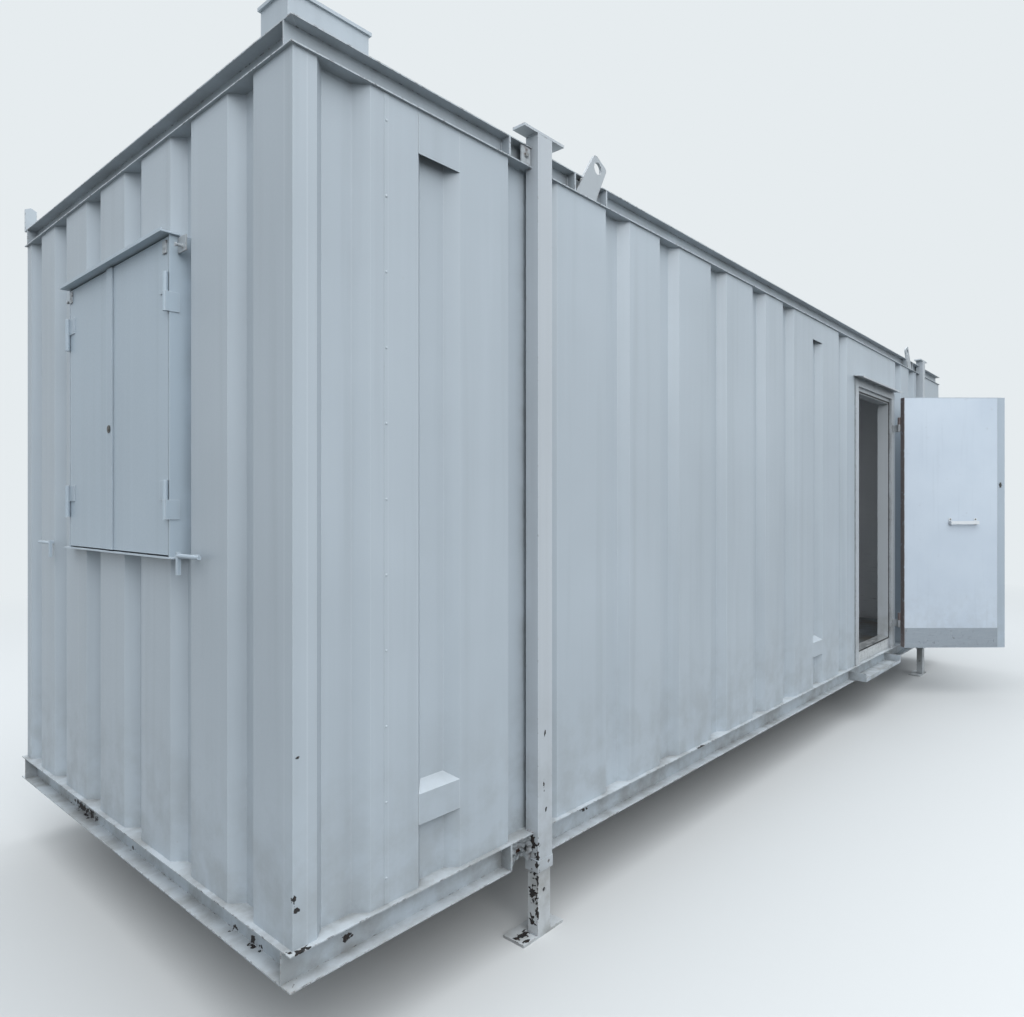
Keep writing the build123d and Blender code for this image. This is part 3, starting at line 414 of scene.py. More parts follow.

# %% [markdown]
# ## Melamine faced lining board
# The room is lined with white faced board. New, it is smooth and a little glossy. In use it
# yellows and gets black scuffs at boot and chair height. Its corners are darkened with painted
# shade.

# %% Lining board
SCUFFS_END = 1.7
lining, tree, shader, place = new_material("melamine_faced_board", 0.35)
tone = add_node(tree, "TexNoise", place, Scale=1.4, Detail=4.0)
level = add_node(tree, "VectorMath", place, (5.0, 5.0, 60.0), operation="MULTIPLY")
scuff = add_node(tree, "TexNoise", level, Scale=1.0, Detail=6.0, Roughness=0.7)
height = add_node(tree, "SeparateXYZ", place).node.outputs["Z"]
low = add_node(tree, "MapRange", height, SCUFFS_END, 0.4, 0.0, 0.6)
# Corners found by Ambient Occlusion are darkened: painted shade
shade = weathered(
    tree,
    "#DADEE2",
    (add_node(tree, "MapRange", tone, 0.3, 0.7), "#E6E9EC"),
    (add_node(tree, "MapRange", scuff, 0.60, 0.66), low, "#5C5B5A"),
    (corner_shade_and_dirt(tree, 0.12), 0.55, "#8D8A83"),
)
dull = add_node(tree, "MapRange", tone, 0.3, 0.7, 0.28, 0.45)
bump = add_node(tree, "Bump", Strength=0.1, Distance=0.0005, Height=scuff)
feed(shader, Base_Color=shade, Roughness=dull, Normal=bump)
print("lining board with scuffs below", SCUFFS_END, "m")

# %% [markdown]
# ## Vinyl floor and a scuffed sill
# The floor is grey sheet vinyl with chips of colour 4 to 6 mm wide, worn matt and muddy by boots.
# The sill is mill finish aluminium: rolled with fine lines along it, and scratched across.

# %% Vinyl and aluminium
vinyl, tree, shader, place = new_material("sheet_vinyl_flecked", 0.45)
fleck = add_node(tree, "TexVoronoi", place, Scale=190.0)
mud = add_node(tree, "TexNoise", place, Scale=3.0, Detail=7.0, Roughness=0.65)
shade = weathered(
    tree,
    "#ABB2B8",
    (add_node(tree, "MapRange", fleck, 0.18, 0.30), "#858D94"),
    (add_node(tree, "MapRange", mud, 0.45, 0.62), 0.8, "#8B8478"),
)
dull = add_node(tree, "MapRange", mud, 0.4, 0.65, 0.35, 0.8)
bump = add_node(tree, "Bump", Strength=0.15, Distance=0.0006, Height=mud)
feed(shader, Base_Color=shade, Roughness=dull, Normal=bump)

aluminium, tree, shader, place = new_material("aluminium_mill_finish", 0.35, 1.0)
along = add_node(tree, "VectorMath", place, (8.0, 900.0, 900.0), operation="MULTIPLY")
rolled = add_node(tree, "TexNoise", along, Scale=1.0, Detail=3.0)
across = add_node(tree, "VectorMath", place, (420.0, 26.0, 60.0), operation="MULTIPLY")
scratch = add_node(tree, "TexNoise", across, Scale=1.0, Detail=4.0, Roughness=0.7)
boots = add_node(tree, "TexNoise", place, Scale=26.0, Detail=6.0, Roughness=0.7)
shade = weathered(
    tree,
    "#B7BABC",
    (add_node(tree, "MapRange", rolled, 0.3, 0.7), "#D2D5D6"),
    (add_node(tree, "MapRange", scratch, 0.60, 0.70), 0.15, "#E6E8E9"),
    (add_node(tree, "MapRange", boots, 0.54, 0.72), 0.5, "#77746C"),
)
dull = add_node(tree, "MapRange", boots, 0.45, 0.65, 0.32, 0.75)
bright = add_node(tree, "MapRange", boots, 0.52, 0.66, 0.9, 0.2)
bump = add_node(tree, "Bump", Strength=0.12, Distance=0.0005, Height=scratch)
feed(shader, Base_Color=shade, Metallic=bright, Roughness=dull, Normal=bump)
print("vinyl flecks 5 mm wide, aluminium lines along the sill")

# %% [markdown]
# ## Faces of the open door
# The inner face is a pre-painted steel sheet, a pale cool white that has gone patchy with hand
# dirt. The kick plate is brushed stainless steel, its grain level, with crescents of boot rubber.

# %% Inner face of the door
prepainted, tree, shader, place = new_material("prepainted_steel_sheet", 0.38)
tone = add_node(tree, "TexNoise", place, Scale=1.6, Detail=4.0)
tall = add_node(tree, "VectorMath", place, (30.0, 30.0, 1.2), operation="MULTIPLY")
runs = add_node(tree, "TexNoise", tall, Scale=1.0, Detail=5.0)
hands = add_node(tree, "TexNoise", place, Scale=13.0, Detail=6.0, Roughness=0.68)
height = add_node(tree, "SeparateXYZ", place).node.outputs["Z"]
low = add_node(tree, "MapRange", height, 1.0, 0.42, 0.0, 0.16)
shade = weathered(
    tree,
    "#B9C5D2",
    (add_node(tree, "MapRange", tone, 0.3, 0.7), "#C6D1DC"),
    (add_node(tree, "MapRange", runs, 0.58, 0.78), 0.22, "#A3AFBB"),
    (add_node(tree, "MapRange", hands, 0.64, 0.74), 0.30, "#989EA3"),
    (add_node(tree, "MapRange", hands, 0.42, 0.60), low, "#7C7A75"),
)
dull = add_node(tree, "MapRange", hands, 0.4, 0.65, 0.32, 0.55)
wave = add_node(tree, "TexNoise", place, Scale=3.2, Detail=1.0)
bump = add_node(tree, "Bump", Strength=0.3, Distance=0.008, Height=wave)
feed(shader, Base_Color=shade, Roughness=dull, Normal=bump)
print("door face ready")

# %% Kick plate
stainless, tree, shader, place = new_material("stainless_steel_brushed", 0.35, 1.0)
level = add_node(tree, "VectorMath", place, (9.0, 9.0, 700.0), operation="MULTIPLY")
grain = add_node(tree, "TexNoise", level, Scale=1.0, Detail=3.0)
boot_mark = add_node(
    tree, "TexNoise", place, Scale=17.0, Detail=5.0, Roughness=0.6, Distortion=1.2
)
shade = weathered(
    tree,
    "#8D959D",
    (add_node(tree, "MapRange", grain, 0.3, 0.7), "#9BA3AB"),
    (add_node(tree, "MapRange", boot_mark, 0.62, 0.68), 0.45, "#4A4E52"),
    (add_node(tree, "MapRange", boot_mark, 0.40, 0.30), 0.35, "#7F8183"),
)
dull = add_node(tree, "MapRange", grain, 0.3, 0.7, 0.30, 0.46)
bright = add_node(tree, "MapRange", boot_mark, 0.55, 0.62, 0.9, 0.3)
bump = add_node(tree, "Bump", Strength=0.2, Distance=0.0004, Height=grain)
feed(shader, Base_Color=shade, Metallic=bright, Roughness=dull, Normal=bump)
print("kick plate ready")

# %% [markdown]
# The leaf's hinge edge was never painted, so its brown primer shows. The door's own directions,
# from the hinge joint and the angle that it stands open, tell how far a point is from the pin.
# The handle is a tube with a pale powder coat, chipped where rings and keys rub it.

# %% Primer on the hinge edge, and the handle's coat
HINGE = next(Vector(joint["pos_m"]) for joint in frame["joints"] if joint["name"] == "door_hinge")
OPEN = radians(131)
LEAF_ALONG = Vector((-cos(OPEN), -sin(OPEN), 0))
LEAF_OUT = Vector((sin(OPEN), -cos(OPEN), 0))
tree = door_paint.node_tree
shader = tree.nodes["Principled BSDF"]
painted = shader.inputs["Base Color"].links[0].from_socket
place = add_node(tree, "TexCoord").node.outputs["Object"]
from_pin = add_node(tree, "VectorMath", place, HINGE, operation="SUBTRACT")
from_pin = add_node(tree, "VectorMath", from_pin, LEAF_ALONG, operation="DOT_PRODUCT")
ragged = add_node(tree, "TexNoise", place, Scale=30.0, Detail=4.0)
ragged = add_node(tree, "MapRange", ragged, 0.3, 0.7, -0.006, 0.006)
reach = add_node(tree, "Math", from_pin, ragged, operation="ADD")
unpainted = add_node(tree, "MapRange", reach, 0.010, 0.006)
feed(shader, Base_Color=weathered(tree, painted, (unpainted, 0.85, "#6D5A55")))
handle_coat = painted_steel(
    "powder_coat_on_handle", "#D5DADE", chips=0.45, grime_and_shade=0.7, rust=0.2, edge=0.2
)
print("hinge edge at", [round(value, 3) for value in HINGE])

# %% [markdown]
# ## Window plastic and glass
# The window frame is extruded PVC, smooth with a slight texture. Its corners are darkened with
# painted shade and its edges made paler with a painted highlight. Float glass reflects a little
# and lets the rest through. Dust makes it show.

# %% PVC and glass
pvc, tree, shader, place = new_material("pvc_extruded", 0.3)
tone = add_node(tree, "TexNoise", place, Scale=18.0, Detail=4.0)
# Corners are darkened with painted shade, and edges made paler with a painted highlight
shade = weathered(
    tree,
    "#D6D8D7",
    (add_node(tree, "MapRange", tone, 0.3, 0.7), "#E3E4E3"),
    (corner_shade_and_dirt(tree, 0.03), 0.7, "#8F8C84"),
    (edge_mask(tree, 0.003), 0.3, "#F0F0EE"),
)
dull = add_node(tree, "MapRange", tone, 0.3, 0.7, 0.25, 0.40)
bump = add_node(tree, "Bump", Strength=0.05, Distance=0.0004, Height=tone)
feed(shader, Base_Color=shade, Roughness=dull, Normal=bump)

glass, tree, shader, place = new_material("float_glass_dusty", 0.03)
shader.inputs["Transmission Weight"].default_value = 1.0
shader.inputs["IOR"].default_value = 1.52
film = add_node(tree, "TexNoise", place, Scale=6.0, Detail=6.0, Roughness=0.65)
dusty = add_node(tree, "MapRange", film, 0.4, 0.7)
dull = add_node(tree, "MapRange", film, 0.45, 0.75, 0.02, 0.30)
shade = weathered(tree, "#DFE9E7", (dusty, "#C3CCC9"))
feed(shader, Base_Color=shade, Roughness=dull)
print("window frame and glass")

# %% [markdown]
# ## Small materials
# Rubber seals are black EPDM, matt, with grey dust. Bolts and screws are zinc plated and go dull
# and brown at the edges, or blacked with oil. Weld beads carry the rail's paint, thin on top, with
# rust at the toes. Mastic is squeezed from a gun and skinned over.

# %% Rubber, plated steel, weld and mastic


def small_material(name, dark, light, fleck, scale, roughness, metallic=0.0, share=0.6):
    """Two shades of a colour in a fine noise, flecks of a third, such as dust or rust, and a
    painted highlight on the edges.
    """
    material, tree, shader, place = new_material(name, roughness, metallic)
    fine = add_node(tree, "TexNoise", place, Scale=scale, Detail=5.0, Roughness=0.6)
    wide = add_node(tree, "TexNoise", place, Scale=scale * 0.3, Detail=5.0, Roughness=0.65)
    spots = add_node(tree, "MapRange", wide, 0.50, 0.66, 0.0, share)
    # The last layer pales the edges: a painted highlight
    shade = weathered(
        tree,
        dark,
        (add_node(tree, "MapRange", fine, 0.3, 0.7), light),
        (spots, fleck),
        (edge_mask(tree, 0.0015), 0.3, light),
    )
    dull = add_node(tree, "MapRange", fine, 0.3, 0.7, roughness - 0.08, roughness + 0.10)
    dull = add_node(tree, "Math", spots, 0.25, dull, operation="MULTIPLY_ADD")
    if metallic:
        feed(shader, Metallic=add_node(tree, "MapRange", spots, 0.0, 1.0, metallic, 0.2))
    bump = add_node(tree, "Bump", Strength=0.3, Distance=0.0006, Height=fine)
    feed(shader, Base_Color=shade, Roughness=dull, Normal=bump)
    return material


rubber = small_material("epdm_rubber_extruded", "#141516", "#242628", "#55544F", 120.0, 0.62)
plated = small_material("zinc_plated_steel", "#85888A", "#ADB0B1", "#6B4A34", 240.0, 0.38, 1.0)
weld = small_material("weld_bead_painted", "#838B91", "#A5ADB3", "#65483A", 210.0, 0.5)
rusty = small_material(
    "scaled_rusty_steel", "#8F9599", "#B3B9BD", "#4A2F22", 55.0, 0.66, share=0.95
)
mastic = small_material("mastic_gunned", "#7F868B", "#989FA4", "#5E5C57", 90.0, 0.55)
trim = small_material("pvc_cover_strip", "#C4C7C6", "#D5D7D6", "#8D8A83", 60.0, 0.35)
lock_metal = small_material(
    "nickel_plated_lock", "#4A4A48", "#63625F", "#252422", 260.0, 0.35, 1.0
)
dark_steel = small_material("oil_blacked_steel", "#191A1B", "#2A2B2C", "#4C443A", 300.0, 0.6)
print("eight small materials")

# %% [markdown]
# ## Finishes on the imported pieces
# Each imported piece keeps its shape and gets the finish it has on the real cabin. The list reads
# as a parts list.

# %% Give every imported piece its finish
FINISHES = {
    wall_paint: "front_wall_sides front_wall_over_door rear_wall left_wall_sides"
    " left_wall_over_under right_wall corner_posts vent_hoods roof_vent_box",
    rail_paint: "base_side_rails base_end_rails roof_side_rails roof_end_rails rail_stiffeners"
    " corner_bracket door_step roof_edge_rail roof_edge_brackets",
    sleeve_paint: "leg_sleeves",
    lifting_paint: "lifting_eyes",
    leg_paint: "jack_leg_front_left jack_leg_front_right jack_leg_rear_left jack_leg_rear_right",
    frame_paint: "door_jambs door_head door_canopy",
    door_paint: "door_leaf",
    shutter_paint: "window_surround_sides shutter_canopy shutter_sill shutter_left shutter_right"
    " shutter_catches",
    zinc: "roof_sheet",
    primer: "floor_joists roof_joists",
    lining: "front_lining_sides front_lining_over_door rear_lining left_lining_sides"
    " left_lining_over_under right_lining ceiling_lining",
    vinyl: "floor_deck",
    aluminium: "door_threshold",
    prepainted: "door_inner_panel",
    stainless: "door_kick_plate",
    handle_coat: "door_pull_handle",
    pvc: "window_frame_stiles window_frame_rails",
    glass: "window_glass",
}
dressed = 0
for material, names in FINISHES.items():
    for name in names.split():
        nodes[name].data.materials.clear()
        nodes[name].data.materials.append(material)
        dressed += 1
print("packed pieces dressed:", dressed, "of", len(nodes))

# %% [markdown]
# ## Making small pieces
# Three tools in mesh code make nearly every small thing. `bar` is a length of section with its
# edges taken off, as no real edge is sharp. `turned` spins an outline round an axis, for bolts,
# rivets and hooks. `bead` turns a rippled rope, as a welder or a mastic gun lays it.

# %% Tools for bars, turned parts and beads
chance = Random(7)


def finish_piece(name, bm, material, body="cabin", sharp=35.0):
    """Turns mesh code into a piece that rides on a body and takes a finish from a slot."""
    bmesh.ops.recalc_face_normals(bm, faces=bm.faces)
    mesh = bpy.data.meshes.new(name)
    bm.to_mesh(mesh)
    bm.free()
    mesh.materials.append(material)
    mesh.shade_smooth()
    mesh.set_sharp_from_angle(angle=radians(sharp))
    piece = bpy.data.objects.new(name, mesh)
    scene.collection.objects.link(piece)
    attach(piece, body)
    print("%s: %d faces on %s" % (name, len(mesh.polygons), body))


def bar(bm, corner, opposite, soften=0.001, turn=None):
    """Block between two corners with its edges taken off; turn moves its points afterwards."""
    low, high = zip(*(sorted(pair) for pair in zip(corner, opposite)))
    made = bmesh.ops.create_cube(bm, size=1.0)["verts"]
    for vert in made:
        vert.co = [low[i] + (vert.co[i] + 0.5) * (high[i] - low[i]) for i in range(3)]
    edges = list({edge for vert in made for edge in vert.link_edges})
    result = bmesh.ops.bevel(bm, geom=edges, offset=soften, segments=2, affect="EDGES")
    if turn:
        for vert in {*result["verts"], *(v for v in made if v.is_valid)}:
            vert.co = turn(*vert.co)


def turned(bm, centre, axis, outline, sides=12):
    """Spins (distance along the axis, radius) pairs; the ends are closed."""
    axis = Vector(axis).normalized()
    first = axis.orthogonal().normalized()
    second = axis.cross(first)
    angles = [2 * pi * i / sides for i in range(sides)]
    spokes = [first * cos(angle) + second * sin(angle) for angle in angles]
    rings = []
    for along, radius in outline:
        middle = Vector(centre) + axis * along
        rings.append([bm.verts.new(middle + spoke * radius) for spoke in spokes])
    for lower, upper in zip(rings, rings[1:]):
        for i in range(sides):
            j = (i + 1) % sides
            bm.faces.new((lower[i], lower[j], upper[j], upper[i]))
    bm.faces.new(rings[0])
    bm.faces.new(rings[-1])


def bead(bm, start, end, radius, pitch=0.006):
    """A rope of ripples from start to end, swelling a little by chance."""
    way = Vector(end) - Vector(start)
    steps = max(3, int(way.length / (pitch / 2)))
    outline = []
    for step in range(steps + 1):
        taper = min(1.0, 0.35 + 1.3 * min(step, steps - step) / 3)
        swell = radius * taper * (1.0 if step % 2 else 0.80) * chance.uniform(0.88, 1.12)
        outline.append((way.length * step / steps, swell))
    turned(bm, start, way, outline, sides=6)


# Outlines of heads, along the axis and out from it, as shares of the radius
HEX_HEAD = ((0.0, 0.75), (0.0, 1.45), (0.25, 1.50), (0.30, 1.0), (0.95, 1.0), (1.1, 0.85))
PAN_HEAD = ((0.0, 1.0), (0.25, 1.0), (0.50, 0.82), (0.62, 0.5), (0.66, 0.18))
DOME_HEAD = ((0.0, 1.0), (0.22, 0.95), (0.42, 0.72), (0.52, 0.35), (0.53, 0.1))


def heads(bm, spots, axis, outline, radius, sides=10):
    """The same bolt or rivet head at many spots."""
    for spot in spots:
        turned(bm, spot, axis, [(a * radius, r * radius) for a, r in outline], sides)


print("head outlines:", len((HEX_HEAD, PAN_HEAD, DOME_HEAD)))

# %% [markdown]
# ## Weld beads on the legs and rails
# Each jack leg's sleeve passes through the flanges of both rails, and is welded to them all round.
# Plates called stiffeners are welded across the channels beside it. A weld is a rope of frozen
# ripples, 6 to 8 mm wide, painted over with the rest. Without it, steel plates in a picture look
# as if they were only pushed together.

# %% Welds at sleeves
BEAD_CREASE = 60.0
SLEEVE_HALF = 0.041
UNDER_FLANGE = 0.2955
# Beads at a sleeve's two sides: height, start and end inward, and radius. The one under the
# lower flange is only on the side toward the middle.
CROSS_BEADS = (
    (0.3915, 0.0, 0.038, 0.004),
    (2.9315, 0.008, 0.038, 0.004),
    (2.8525, 0.008, 0.038, 0.004),
    (UNDER_FLANGE, 0.0, 0.038, 0.004),
    (2.974, -0.020, 0.036, 0.004),
    (0.291, -0.023, 0.038, 0.0035),
)


def level_bead(bm, rear, height, start, end, radius):
    """A level bead on a long side, between two places given as (along, inward)."""
    bead(bm, on_side(*start, height, rear), on_side(*end, height, rear), radius)


sleeve_welds = bmesh.new()
for along, rear in LEGS.values():
    for side in (-1, 1):
        edge = along + side * SLEEVE_HALF
        for height, start, end, radius in CROSS_BEADS:
            if height != UNDER_FLANGE or side != toward_end(along):
                level_bead(sleeve_welds, rear, height, (edge, start), (edge, end), radius)
    left, right = along - 0.040, along + 0.040
    level_bead(sleeve_welds, rear, 2.974, (left, -0.0190), (right, -0.0190), 0.004)
    level_bead(sleeve_welds, rear, 0.291, (left, -0.0215), (right, -0.0215), 0.002)
finish_piece("sleeve_welds", sleeve_welds, weld, sharp=BEAD_CREASE)

# %% Welds at feet
PAD_TOP = 0.011
for leg, (along, rear) in LEGS.items():
    foot_weld = bmesh.new()
    for edge in (along - 0.0355, along + 0.0355):
        level_bead(foot_weld, rear, PAD_TOP, (edge, -0.016), (edge, 0.033), 0.0045)
    left, right = (along - 0.034, 0.0335), (along + 0.034, 0.0335)
    level_bead(foot_weld, rear, PAD_TOP, left, right, 0.0045)
    finish_piece("foot_weld_" + leg, foot_weld, weld, "jack_leg_" + leg, sharp=BEAD_CREASE)

# %% Welds at stiffeners and lifting eyes
EYES = (1.318, LENGTH - 1.125)
EYE_PLATES = (0.077, -0.135)
STIFFENER_OUT = 0.158
PLATE_HALF = 0.005
WEB_BEAD_IN = 0.0465
ROOF_RAIL_UNDER = 2.8590
plate_welds = bmesh.new()


def upright_bead(edge, rear, low, high):
    """An upright bead inside a rail, against its web."""
    ends = [on_side(edge, WEB_BEAD_IN, height, rear) for height in (low, high)]
    bead(plate_welds, *ends, 0.0035)


for rear in (0, 1):
    roof_plates = []
    for along in (LEG_LEFT, LEG_RIGHT):
        plate = along + toward_end(along) * STIFFENER_OUT
        roof_plates.append(plate)
        for edge in (plate - PLATE_HALF, plate + PLATE_HALF):
            upright_bead(edge, rear, 0.348, 0.384)
    for along in EYES:
        roof_plates += [along + toward_end(along) * out for out in EYE_PLATES]
        for inward in (0.0135, 0.0265):
            start, end = (along - 0.064, inward), (along + 0.064, inward)
            level_bead(plate_welds, rear, ROOF_RAIL_UNDER, start, end, 0.004)
    for plate in roof_plates:
        for edge in (plate - PLATE_HALF, plate + PLATE_HALF):
            upright_bead(edge, rear, 2.862, 2.922)
            start, end = (edge, 0.012), (edge, 0.046)
            level_bead(plate_welds, rear, ROOF_RAIL_UNDER, start, end, 0.003)
finish_piece("plate_welds", plate_welds, weld, sharp=BEAD_CREASE)

# %% [markdown]
# ## Clamp screws, and the plates beside the sleeve
# A socket screw in each collar grips the leg. Above, a bolted plate closes the roof rail beside
# each sleeve. Beside the near one, the base rail's torn web was patched with a thin plate that has
# since been bent and has rusted: a grid of points pushed about by waves, then thickened.

# %% Clamp screws and closing plates
SOCKET_HEAD = (
    (0, 0.0066), (0.0055, 0.0066), (0.0062, 0.0058), (0.0062, 0.0036), (0.003, 0.0033)
)
clamps, closers, closer_bolts = bmesh.new(), bmesh.new(), bmesh.new()
for along, rear in LEGS.values():
    out = toward_end(along)
    screw = on_side(along - out * 0.018, -0.0175, 0.272, rear)
    turned(clamps, screw, OUTWARD[rear], SOCKET_HEAD)
    corner = on_side(along + out * 0.042, 0.012, 2.8585, rear)
    opposite = on_side(along + out * 0.094, 0.018, 2.9255, rear)
    bar(closers, corner, opposite, 0.0015)
    bolt = on_side(along + out * 0.068, 0.012, 2.893, rear)
    heads(closer_bolts, [bolt], OUTWARD[rear], HEX_HEAD, 0.008, 6)
finish_piece("clamp_screws", clamps, plated)
finish_piece("rail_closing_plates", closers, rusty)
finish_piece("closing_plate_bolts", closer_bolts, plated)

# %% Bent patch plate beside the near sleeve
COLUMNS, ROWS = 22, 12
RUST_HOLES = ((9, 7), (17, 6))
PATCH_LEFT, PATCH_LENGTH = 0.868, 0.110
PATCH_TOP, PATCH_DEPTH = 0.386, 0.078
patch_plate = bmesh.new()
grid = []
for v in (row / ROWS for row in range(ROWS + 1)):
    line = []
    for u in (column / COLUMNS for column in range(COLUMNS + 1)):
        ragged = 0.012 * sin(9.0 * u) + 0.006 * sin(31.0 * u + 1.0)
        bulge = 0.010 + 0.016 * sin(pi * u) * v
        ripple = 0.005 * sin(14.0 * u + 5.0 * v) + 0.004 * sin(23.0 * v)
        height = PATCH_TOP - v * (PATCH_DEPTH + ragged)
        spot = on_side(PATCH_LEFT + PATCH_LENGTH * u, bulge + ripple, height)
        line.append(patch_plate.verts.new(spot))
    grid.append(line)
for row, (upper, lower) in enumerate(zip(grid, grid[1:])):
    for i in range(COLUMNS):
        if all((i - x) ** 2 + (row - y) ** 2 >= 4 for x, y in RUST_HOLES):
            patch_plate.faces.new((upper[i], upper[i + 1], lower[i + 1], lower[i]))
for vert in [vert for vert in patch_plate.verts if not vert.link_faces]:
    patch_plate.verts.remove(vert)
bmesh.ops.solidify(patch_plate, geom=patch_plate.faces[:], thickness=0.003)
finish_piece("bent_patch_plate", patch_plate, rusty, sharp=50.0)

# %% [markdown]
# ## Seams in the wall sheet
# The long walls are folded from sheets. Near the left corner one laps over the next, and pop
# rivets hold the lap. From a few metres away it is one thin line with dots.

# %% Laps and rivets
laps, rivets = bmesh.new(), bmesh.new()
for rear, outward in enumerate(OUTWARD):
    bar(laps, on_side(0.320, 0.0168, 0.3905, rear), on_side(0.336, 0.0190, 2.8535, rear), 0.0004)
    spots = [on_side(0.328, 0.0168, 0.47 + 0.23 * i, rear) for i in range(11)]
    heads(rivets, spots, outward, DOME_HEAD, 0.0045, 8)
finish_piece("sheet_laps", laps, wall_paint)
finish_piece("lap_rivets", rivets, wall_paint)

# %% [markdown]
# ## Door frame
# A black EPDM seal lies on the rebate, where the leaf's inner face presses. It is an extruded
# strip, so it is a long bar with round edges. Mastic closes the joint between frame and sheet. A
# plated keep is screwed in the jamb for the lock's bolt.

# %% Seal, mastic and keep
DOORWAY_MIDDLE = 5.160
MASTIC_PITCH = 0.07
# The seal's four strips: from and to across the doorway, then from and to in height
SEAL_STRIPS = (
    (-0.4155, -0.4035, 0.480, 2.488),
    (0.4035, 0.4155, 0.480, 2.488),
    (-0.402, 0.402, 2.476, 2.488),
    (-0.398, 0.398, 0.476, 0.487),
)


def at_door(across, inward, height):
    """A place in the front wall, from the middle of the doorway."""
    return on_side(DOORWAY_MIDDLE + across, inward, height)


seal = bmesh.new()
for left, right, low, high in SEAL_STRIPS:
    bar(seal, at_door(left, 0.0232, low), at_door(right, 0.0282, high), 0.002)
finish_piece("door_seal", seal, rubber)

frame_mastic = bmesh.new()
for start, end in (
    ((-0.4985, 0.0165, 0.392), (-0.4985, 0.0165, 2.562)),
    ((0.4985, 0.0165, 0.392), (0.4985, 0.0165, 2.562)),
    ((-0.52, 0.0165, 2.590), (0.52, 0.0165, 2.590)),
):
    bead(frame_mastic, at_door(*start), at_door(*end), 0.004, MASTIC_PITCH)
finish_piece("frame_mastic", frame_mastic, mastic, sharp=BEAD_CREASE)

keep = bmesh.new()
bar(keep, at_door(-0.4317, 0.009, 1.700), at_door(-0.4303, 0.027, 1.856), 0.0005)
screws = [at_door(-0.4305, 0.018, height) for height in (1.712, 1.844)]
heads(keep, screws, (1, 0, 0), PAN_HEAD, 0.0022)
finish_piece("lock_keep", keep, plated)

# %% [markdown]
# ## Things on the door leaf
# The door stands open, so its hardware is set out in the leaf's own directions: along it from the
# hinge, and outward through it. The leaf's inner face is 74.5 mm inward of the hinge pin.

# %% Lock
LEAF_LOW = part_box("door_leaf")[0][2]
LATCH_EDGE = 0.8556
LOCK_FACES = ((-0.0722, -0.0692, -1), (-0.0118, -0.0148, 1))


def on_leaf(along, out, height):
    """A place on the door: from the pin to the latch edge, outward, and up from its bottom."""
    spot = HINGE + LEAF_ALONG * along + LEAF_OUT * out
    return Vector((spot.x, spot.y, LEAF_LOW + height))


# The keyholes are thin black slivers on the lock's faces: painted shade, not a cut slot
lock, keyhole_shade = bmesh.new(), bmesh.new()
for face, back, way in LOCK_FACES:
    bar(lock, (0.8110, face, 1.342), (0.8260, back, 1.384), 0.0012, on_leaf)
    tip = face + way * 0.0008
    bar(keyhole_shade, (0.8173, face, 1.3575), (0.8197, tip, 1.3685), 0.0003, on_leaf)
corner, opposite = (LATCH_EDGE - 0.0006, -0.055, 1.280), (LATCH_EDGE + 0.0008, -0.033, 1.446)
bar(lock, corner, opposite, 0.0005, on_leaf)
finish_piece("door_lock", lock, lock_metal, "door")
finish_piece("keyhole_shade_slivers", keyhole_shade, rubber, "door")

# %% Handle roses and door screws
HANDLE_MIDDLE = 0.497
roses, rose_screws, screws = bmesh.new(), bmesh.new(), bmesh.new()
for end in (-0.1065, 0.1065):
    middle = HANDLE_MIDDLE + end
    corner, opposite = (middle - 0.013, -0.0780, 1.031), (middle + 0.013, -0.0744, 1.086)
    bar(roses, corner, opposite, 0.0015, on_leaf)
    heads(rose_screws, [on_leaf(middle, -0.0778, 1.076)], -LEAF_OUT, PAN_HEAD, 0.0055, 12)
for along in (0.030, 0.215, 0.400, 0.585, 0.765):
    spots = [on_leaf(along, -0.0759, height) for height in (0.022, 0.148)]
    heads(screws, spots, -LEAF_OUT, PAN_HEAD, 0.0032, 12)
finish_piece("handle_roses", roses, handle_coat, "door")
finish_piece("rose_screws", rose_screws, dark_steel, "door")
finish_piece("door_screws", screws, plated, "door")

# %% Hinge bolts and pin caps
PIN_CAP = ((0, 0.0079), (0.0025, 0.0079), (0.0045, 0.0060), (0.0052, 0.0020))
leaf_bolts, bracket_bolts, pin_caps = bmesh.new(), bmesh.new(), bmesh.new()
for height in (0.220, 1.876):
    pin = Vector((HINGE.x, HINGE.y, LEAF_LOW + height))
    spots = [on_leaf(along, -0.0105, height + 0.031) for along in (0.034, 0.068, 0.102)]
    heads(leaf_bolts, spots, LEAF_OUT, HEX_HEAD, 0.0055, 6)
    spots = [pin + Vector((0.0195, 0.0105, -drop)) for drop in (0.015, 0.046)]
    heads(bracket_bolts, spots, (0, -1, 0), DOME_HEAD, 0.0045)
    turned(pin_caps, pin + Vector((0, 0, 0.0590)), (0, 0, 1), PIN_CAP, 16)
finish_piece("leaf_strap_bolts", leaf_bolts, dark_steel, "door")
finish_piece("hinge_bracket_bolts", bracket_bolts, dark_steel)
finish_piece("hinge_pin_caps", pin_caps, plated)

# %% [markdown]
# ## Window box
# Under each end of the canopy a plate with a stub stands on the wall, and a lug on the leaf's top
# corner meets it, for the hook that holds the leaf open. A button lock sits on the cover strip.

